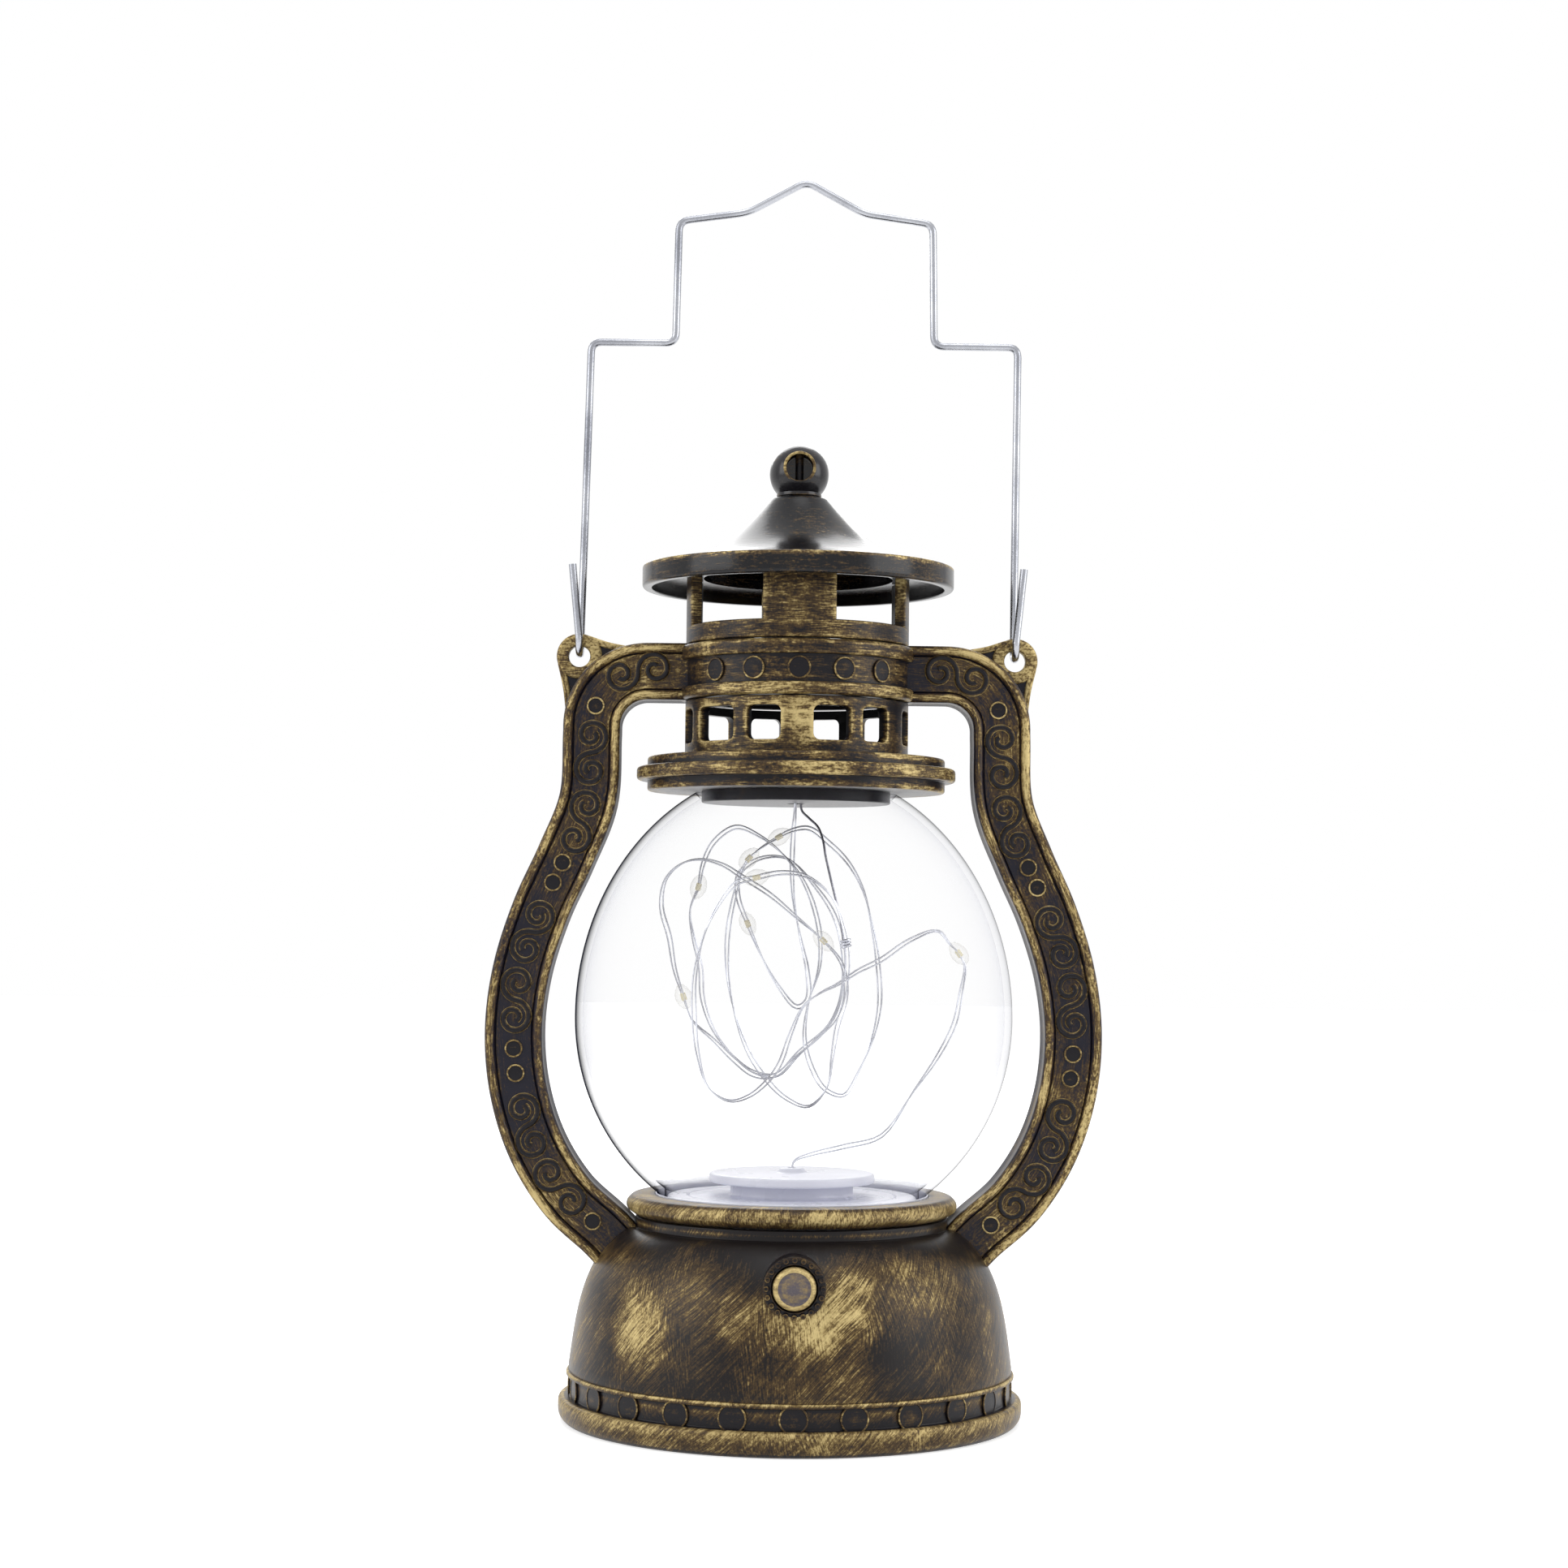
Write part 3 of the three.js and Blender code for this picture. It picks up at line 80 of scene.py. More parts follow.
class Sock:
    """A node's socket that takes part in arithmetic with other sockets and with numbers."""

    def __init__(self, sheet: "Sheet", socket: bpy.types.NodeSocket) -> None:
        """Keeps the socket and the sheet of nodes that it belongs to."""
        self.sheet = sheet
        self.socket = socket

    def _math(self, operation: str, *values: "Sock | float") -> "Sock":
        """Adds a Math node on the given values."""
        return self.sheet.node("ShaderNodeMath", {"operation": operation}, dict(enumerate(values)))

    def __add__(self, other: "Sock | float") -> "Sock":
        """self + other."""
        return self._math("ADD", self, other)

    __radd__ = __add__

    def __sub__(self, other: "Sock | float") -> "Sock":
        """self - other."""
        return self._math("SUBTRACT", self, other)

    def __rsub__(self, other: "Sock | float") -> "Sock":
        """other - self."""
        return self._math("SUBTRACT", other, self)

    def __mul__(self, other: "Sock | float") -> "Sock":
        """self * other."""
        return self._math("MULTIPLY", self, other)

    __rmul__ = __mul__

    def __pow__(self, other: "Sock | float") -> "Sock":
        """self ** other."""
        return self._math("POWER", self, other)

    def held(self) -> "Sock":
        """Holds the value between 0 and 1."""
        return self.sheet.node("ShaderNodeClamp", inputs={"Value": self})

    def beside(self, name: str) -> "Sock":
        """Another output of the same node."""
        return Sock(self.sheet, self.socket.node.outputs[name])


class Sheet:
    """A sheet of nodes, of a material, a world or a geometry tree."""

    def __init__(self, tree: bpy.types.NodeTree) -> None:
        """Keeps the tree and clears what it holds."""
        self.tree = tree
        tree.nodes.clear()

    def node(
        self,
        kind: str,
        settings: dict[str, Any] | None = None,
        inputs: dict[int | str, Any] | None = None,
        out: int | str = 0,
    ) -> Sock:
        """Adds a node.

        Args:
            kind: The node's type.
            settings: Its properties, set first.
            inputs: Values or sockets for its inputs, by index or name.
            out: The output to give back.

        Returns:
            The chosen output, or the node's first input where it has no output.
        """
        made = self.tree.nodes.new(kind)
        for key, value in (settings or {}).items():
            setattr(made, key, value)
        for key, value in (inputs or {}).items():
            if isinstance(value, Sock):
                self.tree.links.new(value.socket, made.inputs[key])
            else:
                made.inputs[key].default_value = value
        return Sock(self, made.outputs[out] if made.outputs else made.inputs[0])

    def vector(self, operation: str, first: Any, second: Any = None, factor: Any = None) -> Sock:
        """Adds a Vector Math node.

        Args:
            operation: Its operation.
            first: The first vector.
            second: The second vector, where the operation has one.
            factor: The scale, where the operation has one.

        Returns:
            The resulting vector.
        """
        inputs = {0: first}
        if second is not None:
            inputs[1] = second
        if factor is not None:
            inputs["Scale"] = factor
        return self.node("ShaderNodeVectorMath", {"operation": operation}, inputs)

    def axes(self, vector: Sock) -> tuple[Sock, Sock, Sock]:
        """The X, Y and Z of a vector."""
        split = self.node("ShaderNodeSeparateXYZ", inputs={0: vector})
        return split, split.beside("Y"), split.beside("Z")

    def combined(self, x: Any, y: Any, z: Any) -> Sock:
        """A vector from its X, Y and Z."""
        return self.node("ShaderNodeCombineXYZ", inputs={0: x, 1: y, 2: z})

    def seen(self) -> Sock:
        """1 where the camera, a reflection or a view through glass looks, 0 for light."""
        path = self.node("ShaderNodeLightPath", out="Is Camera Ray")
        return (path + path.beside("Is Glossy Ray") + path.beside("Is Transmission Ray")).held()


class Paint(Sheet):
    """The nodes of one material."""

    def __init__(self, name: str) -> None:
        """Makes an empty material of that name.

        Args:
            name: The material's name.
        """
        self.material = bpy.data.materials.new(name)
        self.material.use_nodes = True
        super().__init__(self.material.node_tree)

    def place(self) -> Sock:
        """Object coordinates in millimetres."""
        here = self.node("ShaderNodeTexCoord", out="Object")
        return self.vector("SCALE", here, factor=1 / MM)

    def attribute(self, name: str, out: str = "Fac") -> Sock:
        """A value that the mesh keeps for each point."""
        return self.node("ShaderNodeAttribute", {"attribute_name": name}, out=out)

    def noise(self, vector: Sock, size: float = 1, detail: float = 2, rough: float = 0.5) -> Sock:
        """Noise, in the units of its vector.

        Args:
            vector: The coordinates.
            size: The size of its features.
            detail: How many finer layers it has.
            rough: How strong those are.

        Returns:
            Values that lie about 0.5.
        """
        return self.node("ShaderNodeTexNoise", inputs={
            "Vector": vector, "Scale": 1 / size, "Detail": detail, "Roughness": rough,
        })

    def colours(self, factor: Sock, first: Any, second: Any) -> Sock:
        """Mixes two colours, the first where the factor is 0.

        Args:
            factor: The share of the second colour.
            first: A socket, a screen colour of three numbers or a linear one of four.
            second: The same for the second colour.

        Returns:
            The mixed colour.
        """
        settings = {"data_type": "RGBA", "clamp_factor": True}
        ends = {6: first, 7: second}
        for key, colour in ends.items():
            if isinstance(colour, tuple) and len(colour) == 3:
                ends[key] = linear(colour)
        return self.node("ShaderNodeMix", settings, {0: factor, **ends}, out=2)

    def bump(self, height: Sock, strength: float, depth: float) -> Sock:
        """A normal from a height, depth in millimetres.

        Args:
            height: The height, 0 to 1.
            strength: How strongly it shows.
            depth: How deep it is, in millimetres.

        Returns:
            The normal.
        """
        return self.node("ShaderNodeBump", inputs={
            "Height": height, "Strength": strength, "Distance": depth * MM,
        })

    def surfaced(self, **inputs: Any) -> bpy.types.Material:
        """Ends the material in one surface.

        Args:
            **inputs: Values and sockets, named as the surface's inputs with _ for a blank.

        Returns:
            The material.
        """
        values = {key.replace("_", " "): value for key, value in inputs.items()}
        surface = self.node("ShaderNodeBsdfPrincipled", inputs=values)
        self.node("ShaderNodeOutputMaterial", inputs={"Surface": surface})
        return self.material


# Finishes


class Strokes(Enum):
    """Way in which the gold was brushed on."""

    SLANTED = "slanted"
    LEVEL = "level"
    ALONG = "along"


@dataclass(frozen=True)
class Brushed:
    """Near-black plastic with gold paint dry-brushed over it, thick on raised edges.

    cover is the paint all over, patches its unevenness, edges what ridges take more of it and
    contrast how much single strokes differ. slants turn the strokes by height, in radians per
    millimetre, and each spot is a place, its reach and how much lighter or darker the colour is
    there; on the dome, the posts and the gallery these spots are painted highlights and shade.
    """

    name: str
    strokes: Strokes = Strokes.LEVEL
    cover: float = 0.0
    patches: float = 5.0
    patch_size: float = 14
    edges: float = 0.75
    contrast: float = 1.7
    gloss: float = 0.34
    shine: float = 0.2
    stroke_length: float = 2.4
    stroke_width: float = 0.25
    slants: tuple[float, float] = (-0.024, 0.003)
    waver: float = 0.12
    around: float = 40
    light_and_paint_spots: tuple[tuple[float, float, float, float, float], ...] = ()
    dark: Colour = (22, 20, 25)
    brown: Colour = (86, 67, 41)
    gold: Colour = (152, 130, 82)
    bright: Colour = (208, 187, 132)

    def slanted(self, paint: Paint, slant: float) -> Sock:
        """Coordinates round the Z axis that are stretched along strokes of one slant.

        Args:
            paint: The material's nodes.
            slant: How far they turn, in radians per millimetre.

        Returns:
            The coordinates.
        """
        here = paint.place()
        height = paint.axes(here)[2]
        waver = (paint.noise(here, 17, 1) - 0.5) * self.waver
        turned = paint.node("ShaderNodeVectorRotate", {"rotation_type": "Z_AXIS"}, {
            "Vector": here, "Angle": height * slant + waver,
        })
        ring = paint.vector("NORMALIZE", paint.vector("MULTIPLY", turned, (1, 1, 0)))
        wide = paint.vector("SCALE", ring, factor=self.around / self.stroke_width)
        return paint.vector("ADD", wide, paint.combined(0, 0, height * (1 / self.stroke_length)))

    def flow(self, paint: Paint) -> tuple[Sock, Sock]:
        """Coordinates that are stretched along the strokes, for two directions of the brush.

        Args:
            paint: The material's nodes.

        Returns:
            The two sets of coordinates.
        """
        if self.strokes is Strokes.SLANTED:
            return self.slanted(paint, self.slants[0]), self.slanted(paint, self.slants[1])
        narrow, long = 1 / self.stroke_width, 1 / self.stroke_length
        if self.strokes is Strokes.ALONG:
            base = paint.attribute("flow", "Vector")
            scales = (long, narrow, narrow), (long * 3, narrow * 0.5, narrow)
        else:
            base = paint.place()
            scales = (long, long, narrow), (long * 1.8, long * 1.8, narrow * 0.6)
        return paint.vector("MULTIPLY", base, scales[0]), paint.vector("MULTIPLY", base, scales[1])

    def spot_light_and_paint(self, paint: Paint, here: Sock) -> Sock:
        """How much lighter or darker the colour is at the spots, some of them painted highlights
        and shade.

        Args:
            paint: The material's nodes.
            here: The place in millimetres.

        Returns:
            How much lighter or darker it is there.
        """
        total: Sock | float = 0.0
        for x, y, z, reach, amount in self.light_and_paint_spots:
            apart = paint.vector("DISTANCE", here, (x, y, z)).beside("Value")
            total = (1 - apart * (1 / reach)).held() * amount + total
        return total

    def material(self) -> bpy.types.Material:
        """Makes the material.

        Returns:
            The material.
        """
        paint = Paint(self.name)
        here = paint.place()
        first, second = self.flow(paint)
        edge = paint.attribute("edge")
        patch = paint.noise(here, self.patch_size, 3, 0.6)
        # Where the second direction of the brush takes over from the first.
        turn = ((paint.noise(paint.vector("ADD", here, (7, 3, 9)), 12, 1) - 0.5) * 7 + 0.4).held()
        one, other = paint.noise(first, 1, 3, 0.6), paint.noise(second, 1, 3, 0.6)
        stroke = one + (other - one) * turn
        broad = paint.noise(paint.vector("SCALE", first, factor=0.3), 1, 2, 0.5)
        speck = paint.noise(here, 0.45, 2, 0.6)
        cover = (patch - 0.5) * self.patches + edge * self.edges + self.cover
        # The spots lighten and darken the cover: painted highlights and shade on the dome, posts
        # and gallery.
        if self.light_and_paint_spots:
            cover = cover + self.spot_light_and_paint(paint, here)
        lines = (stroke - 0.5) * self.contrast + (broad - 0.5) * 0.7 + (speck - 0.5) * 0.7
        tone = cover * 0.35 + lines + 0.4
        # As the tone rises, the ground turns brown, then gold covers it, then it turns bright.
        brown, gold = (tone * 2.4 - 0.15).held(), (tone * 3 - 1.3).held()
        bright = (tone * 2.4 - 1.4).held()
        ground = paint.colours(brown, self.dark, self.brown)
        leaf = paint.colours(bright, self.gold, self.bright)
        return paint.surfaced(
            Base_Color=paint.colours(gold, ground, leaf),
            Metallic=gold * 0.4,
            Roughness=gold * 0.16 + (speck - 0.5) * 0.2 + self.gloss,
            Specular_IOR_Level=self.shine,
            Normal=paint.bump(stroke * 0.7 + speck * 0.2 + gold * 0.3, 0.3, 0.1),
        )


@dataclass(frozen=True)
class Moulded:
    """Moulded plastic of one colour, with a fine grain and faint flow marks."""

    name: str
    colour: Colour
    roughness: float = 0.5
    grain: float = 0.6
    shade: float = 0.12

    def material(self) -> bpy.types.Material:
        """Makes the material.

        Returns:
            The material.
        """
        paint = Paint(self.name)
        here = paint.place()
        cloud = paint.noise(here, 9, 3)
        grain = paint.noise(here, self.grain, 2, 0.7)
        lighter = tuple(min(255, round(c + 255 * self.shade)) for c in self.colour)
        mark = (cloud * 0.6 + grain * 0.4 - 0.35).held()
        return paint.surfaced(
            Base_Color=paint.colours(mark, self.colour, lighter),
            Roughness=(cloud - 0.5) * 0.3 + self.roughness,
            Normal=paint.bump(grain, 0.15, 0.05),
        )


@dataclass(frozen=True)
class Drawn:
    """Drawn or pressed metal, with a fine grain and a tarnish in patches."""

    name: str
    colour: Colour
    tarnish: Colour
    roughness: float = 0.25
    spread: float = 0.35
    patch: float = 7

    def material(self) -> bpy.types.Material:
        """Makes the material.

        Returns:
            The material.
        """
        paint = Paint(self.name)
        here = paint.place()
        patch = paint.noise(here, self.patch, 3, 0.6)
        grain = paint.noise(here, 0.35, 2, 0.6)
        dull = ((patch - 0.5) * 3 + self.spread + (grain - 0.5) * 0.8).held()
        return paint.surfaced(
            Base_Color=paint.colours(dull, self.colour, self.tarnish),
            Metallic=1.0,
            Roughness=dull * 0.2 + self.roughness,
            Normal=paint.bump(grain, 0.12, 0.03),
        )


@dataclass(frozen=True)
class Clear:
    """Clear moulded plastic that shows by its rims.

    body is its opacity seen straight on, rim and sharp what its slanting sides add, outline the
    dark line at its very edge, which is a painted dark reflection, and the haze, the opacity of a
    pale coat where the mesh is marked for it, is painted light that stands in for the light seen
    through the clear neck.
    """

    name: str
    tint: Colour = (205, 208, 228)
    pale: Colour = (246, 247, 254)
    line: Colour = (30, 34, 50)
    body: float = 0.001
    rim: float = 0.14
    sharp: float = 4.0
    roughness: float = 0.05
    painted_light_haze: float = 0.0
    outline: float = 0.6
    shine: float = 0.08

    def material(self) -> bpy.types.Material:
        """Makes the material.

        Returns:
            The material.
        """
        paint = Paint(self.name)
        facing = paint.node("ShaderNodeLayerWeight", inputs={"Blend": 0.5}, out="Facing")
        here = paint.place()
        ripple = paint.noise(here, 22, 2)
        mark = paint.attribute("edge")
        across, depth, _ = paint.axes(here)
        # Painted light: a pale haze on the back half only, where the neck is marked, stands in for
        # the light seen through the clear neck; the skins that are marked -1 take no painted edge
        # line.
        painted_light_haze = mark.held() * (depth * 0.1 + 0.2).held() * self.painted_light_haze
        outer = (mark + 1).held()
        streak = paint.noise(paint.vector("MULTIPLY", here, (0.12, 0.12, 1)), 1, 2)
        # The line is a painted dark reflection along the very edge, where the view grazes the
        # glass, stronger on the left side.
        line = (facing ** 12 * outer * (across * -0.01 + 0.6).held() * self.outline).held()
        soft = paint.colours(painted_light_haze * 2, self.tint, self.pale)
        clear = facing ** self.sharp * self.rim + line + self.body
        return paint.surfaced(
            Base_Color=paint.colours(line * 5 * (1 - painted_light_haze), soft, self.line),
            Roughness=self.roughness,
            Specular_IOR_Level=self.shine,
            Alpha=(clear + painted_light_haze * (streak + 0.5)).held(),
            Normal=paint.bump(ripple, 0.06, 0.6),
        )


@dataclass(frozen=True)
class Sleeve:
    """Printed sleeve of a battery: a plain body and a coloured band at the nub's end."""

    name: str
    body: Colour = (38, 40, 46)
    scuffed: Colour = (58, 60, 68)
    band: Colour = (176, 104, 52)

    def material(self) -> bpy.types.Material:
        """Makes the material.

        Returns:
            The material.
        """
        paint = Paint(self.name)
        band = ((paint.attribute("edge") - 0.5) * 40).held()
        scuff = paint.noise(paint.place(), 3, 4, 0.7)
        body = paint.colours(scuff, self.body, self.scuffed)
        return paint.surfaced(
            Base_Color=paint.colours(band, body, self.band),
            Metallic=0.3,
            Roughness=scuff * 0.3 + 0.2,
        )


@dataclass(frozen=True)
class Laminate:
    """Green board with copper tracks under its lacquer."""

    name: str
    lacquer: Colour = (34, 92, 58)
    track: Colour = (92, 128, 62)

    def material(self) -> bpy.types.Material:
        """Makes the material.

        Returns:
            The material.
        """
        paint = Paint(self.name)
        here = paint.place()
        wave = paint.node("ShaderNodeTexWave", {"bands_direction": "X"}, {
            "Vector": here, "Scale": 0.22, "Distortion": 1.5,
        }, out="Fac")
        track = ((wave - 0.8) * 12).held()
        return paint.surfaced(
            Base_Color=paint.colours(track, self.lacquer, self.track),
            Roughness=paint.noise(here, 2) * 0.3 + 0.2,
            Normal=paint.bump(track, 0.4, 0.1),
        )


@dataclass(frozen=True)
class Backdrop:
    """White floor that glows for the camera, so that little but the shadow shows on it.

    lift is the glow, low and high are the floor's own greys, and all three are linear.
    """

    name: str
    lift: float = 0.62
    low: float = 0.8
    high: float = 0.84

    def material(self) -> bpy.types.Material:
        """Makes the material.

        Returns:
            The material.
        """
        paint = Paint(self.name)
        dark, glow, low, high = ((c, c, c, 1) for c in (0, self.lift, self.low, self.high))
        return paint.surfaced(
            Base_Color=paint.colours(paint.noise(paint.place(), 40), low, high),
            Roughness=0.8,
            Emission_Color=paint.colours(paint.seen(), dark, glow),
            Emission_Strength=1.0,
        )


class Finish(Protocol):
    """Any of the finishes: it makes its own material."""

    def material(self) -> bpy.types.Material:
        """Makes the material."""


_finished: dict[Finish, bpy.types.Material] = {}


def material_of(finish: Finish) -> bpy.types.Material:
    """The material of a finish, made once.

    Args:
        finish: The finish.

    Returns:
        Its material.
    """
    if finish not in _finished:
        _finished[finish] = finish.material()
    return _finished[finish]


# The dome's spots are painted highlights and painted shade across its front.
DOME_BRONZE = Brushed(
    "dome_bronze", Strokes.SLANTED, cover=-0.12, patches=4.6, contrast=1.5, dark=(27, 23, 23),
    light_and_paint_spots=(
        (8, -40, 26, 10, 1.3), (-8, -40, 27, 8, 0.8), (-27, -31, 24, 11, 0.9),
        (27, -31, 26, 7, 0.3), (1, -42, 22, 7, 0.9), (-20, -37, 19, 9, -0.8),
        (-13, -41, 14, 8, -0.9), (4, -43, 13, 7, -0.6), (18, -39, 18, 11, -0.9),
        (-15, -36, 32, 6, -0.6), (33, -26, 18, 10, -0.7), (-2, -37, 37, 9, -2.0),
    ),
)
FOOT_BRONZE = Brushed(
    "foot_bronze", Strokes.SLANTED, cover=0.1, patches=2, patch_size=6, edges=0.75, contrast=1.1,
    stroke_length=1.2,
)
# Its spots are a painted highlight down the front post.
RING_BRONZE = Brushed(
    "ring_bronze", cover=-0.5, patches=4, patch_size=9,
    light_and_paint_spots=((4, -22, 158, 9, 0.7), (0, -22, 167, 9, 1.0)),
)
# Its spot is a painted highlight on the gallery's front.
GALLERY_BRONZE = Brushed(
    "gallery_bronze", cover=-0.25, patch_size=8, edges=1.2,
    light_and_paint_spots=((0, -22, 135, 8, 1.9),),
)
ARM_BRONZE = Brushed(
    "arm_bronze", Strokes.ALONG, cover=-0.3, edges=0.9, patch_size=11, patches=4,
    dark=(32, 31, 42), light_and_paint_spots=(
        (46, -5, 128, 11, 1.0), (50, -5, 106, 9, 0.7), (56, -5, 66, 12, 0.4),
        (44, -5, 44, 12, 0.7), (-56, -5, 85, 26, -0.5), (-45, -5, 42, 12, 0.6),
        (-30, -5, 145, 11, 0.9), (32, -5, 145, 11, 0.7),
    ),
)
ROOF_BRONZE = Brushed(
    "roof_bronze", cover=-1.2, patches=3, edges=1.6, gloss=0.2, shine=0.3,
    dark=(14, 13, 17),
)
SCROLL_BRONZE = Brushed("scroll_bronze", cover=-1.0, patches=2, edges=2.0, contrast=0.8)
STUD_BRONZE = Brushed(
    "stud_bronze", cover=-0.8, patches=4, edges=1.3, contrast=0.8, patch_size=6,
)
FINIAL_BLACK = Brushed(
    "finial_black", cover=-1.3, patches=3, edges=0.9, gloss=0.2, shine=0.4,
)
BUTTON_GOLD = Brushed(
    "button_gold", cover=0.35, patches=1.5, contrast=0.8, gloss=0.26, edges=1.0,
    dark=(98, 92, 98), brown=(142, 124, 94),
)
SEAT_GOLD = Brushed(
    "seat_gold", Strokes.SLANTED, cover=0.3, patches=2.5, patch_size=7, contrast=1.2,
    stroke_length=1.2,
)
# The globe's haze is painted light on its neck, and its outline a painted dark edge reflection.
GLOBE_CLEAR = Clear("globe_clear", painted_light_haze=0.95, outline=2.6, shine=0)
DROP_CLEAR = Clear(
    "drop_clear", tint=(238, 236, 230), line=(186, 184, 178), body=0.1, rim=0.3, sharp=2,
)
LAMP_WHITE = Moulded("lamp_white", (226, 227, 238), roughness=0.3, shade=0.05)
PLUNGER_WHITE = Moulded("plunger_white", (216, 216, 212), roughness=0.4, shade=0.05)
CHIP_WARM = Moulded("chip_warm", (236, 226, 196), roughness=0.35)
BASE_BLACK = Moulded("base_black", (34, 33, 38), roughness=0.55)
SWITCH_BLACK = Moulded("switch_black", (24, 24, 27), roughness=0.45)
STRING_SILVER = Drawn("string_silver", (206, 208, 216), (150, 150, 156), roughness=0.3)
TIE_GREY = Drawn("tie_grey", (150, 150, 158), (96, 96, 104), roughness=0.3)
BAIL_STEEL = Drawn("bail_steel", (182, 184, 190), (120, 122, 130), roughness=0.22, patch=20)
SPRING_STEEL = Drawn("spring_nickel", (198, 196, 190), (150, 146, 138))
ZINC_STEEL = Drawn("screw_zinc", (186, 188, 190), (128, 126, 120), roughness=0.35)
CELL_SLEEVE = Sleeve("cell_sleeve")
BOARD_GREEN = Laminate("board_green")
FLOOR_WHITE = Backdrop("floor_white")


# Shapes


def put(name: str, data: Any) -> bpy.types.Object:
    """A new object of that name in the scene, which holds the data.

    Args:
        name: The object's name.
        data: A mesh, a curve, a camera or a light.

    Returns:
        The object.
    """
    thing = bpy.data.objects.new(name, data)
    bpy.context.scene.collection.objects.link(thing)
    return thing


def eased(start: Vector, corner: Vector, end: Vector, share: float) -> Vector:
    """A point on the curve that rounds a corner, 0 at its start and 1 at its end."""
    return start * (1 - share) ** 2 + corner * 2 * share * (1 - share) + end * share ** 2


def between(a: Sequence[float], b: Sequence[float], share: float) -> tuple[float, float]:
    """A point on the line between two points of a plane."""
    return a[0] + (b[0] - a[0]) * share, a[1] + (b[1] - a[1]) * share


def on_ring(x: float, z: float, radius: float, angle: float) -> Vector:
    """A point on a ring in the XZ plane, at an angle in radians from its right side."""
    return Vector((x + radius * math.cos(angle), 0, z + radius * math.sin(angle)))


def facing_front(x: float, z: float) -> Matrix:
    """Turns what was made on the Z axis to the front and moves it in the XZ plane."""
    return Matrix.Translation((x, 0, z)) @ Matrix.Rotation(math.pi / 2, 4, "X")


@dataclass(frozen=True)
class Corner:
    """A corner of a lathed outline, with its rounding and how much gold it takes."""

    radius: float
    height: float
    rounding: float = 0
    shine: float | None = None


@dataclass
class Outline:
    """Points of an outline, each with how much gold it takes."""

    points: list[tuple[float, float]] = field(default_factory=list)
    shines: list[float] = field(default_factory=list)

    def add(self, radius: float, height: float, shine: float = 0) -> None:
        """Adds a point."""
        self.points.append((radius, height))
        self.shines.append(shine)


def oblong(
    left: float, low: float, right: float, high: float, rounding: float = 0,
) -> list[Corner]:
    """Four corners of an oblong, from its lower left one against the clock."""
    places = ((left, low), (right, low), (right, high), (left, high))
    return [Corner(x, z, rounding) for x, z in places]


def rounded(corners: Sequence[Corner], closed: bool = True, steps: int = 5) -> Outline:
    """Rounds the corners of an outline and marks its ridges for gold.

    Args:
        corners: The outline's corners in order.
        closed: Whether the last corner joins the first.
        steps: Points on each rounding.

    Returns:
        The rounded outline.
    """
    fade = 0.8
    places = [Vector((c.radius, c.height)) for c in corners]
    area = sum(a.x * b.y - b.x * a.y for a, b in zip(places, places[1:] + places[:1]))
    outline = Outline()
    for i, corner in enumerate(corners):
        here = places[i]
        ends = not closed and i in (0, len(corners) - 1)
        if corner.rounding == 0 or ends:
            outline.add(here.x, here.y, corner.shine or 0)
            continue
        back = places[i - 1] - here
        on = places[(i + 1) % len(places)] - here
        reach = min(corner.rounding, back.length * 0.45, on.length * 0.45)
        turn = (on.normalized().cross(back.normalized())) * (1 if area > 0 else -1)
        shine = max(-1, min(1, 1.2 * turn)) if corner.shine is None else corner.shine
        start = here + back.normalized() * reach
        end = here + on.normalized() * reach
        if back.length > 2 * (reach + fade):
            outline.add(*(start + back.normalized() * fade))
        for step in range(steps + 1):
            spot = eased(start, here, end, step / steps)
            outline.add(spot.x, spot.y, shine)
        if on.length > 2 * (reach + fade):
            outline.add(*(end + on.normalized() * fade))
    return outline


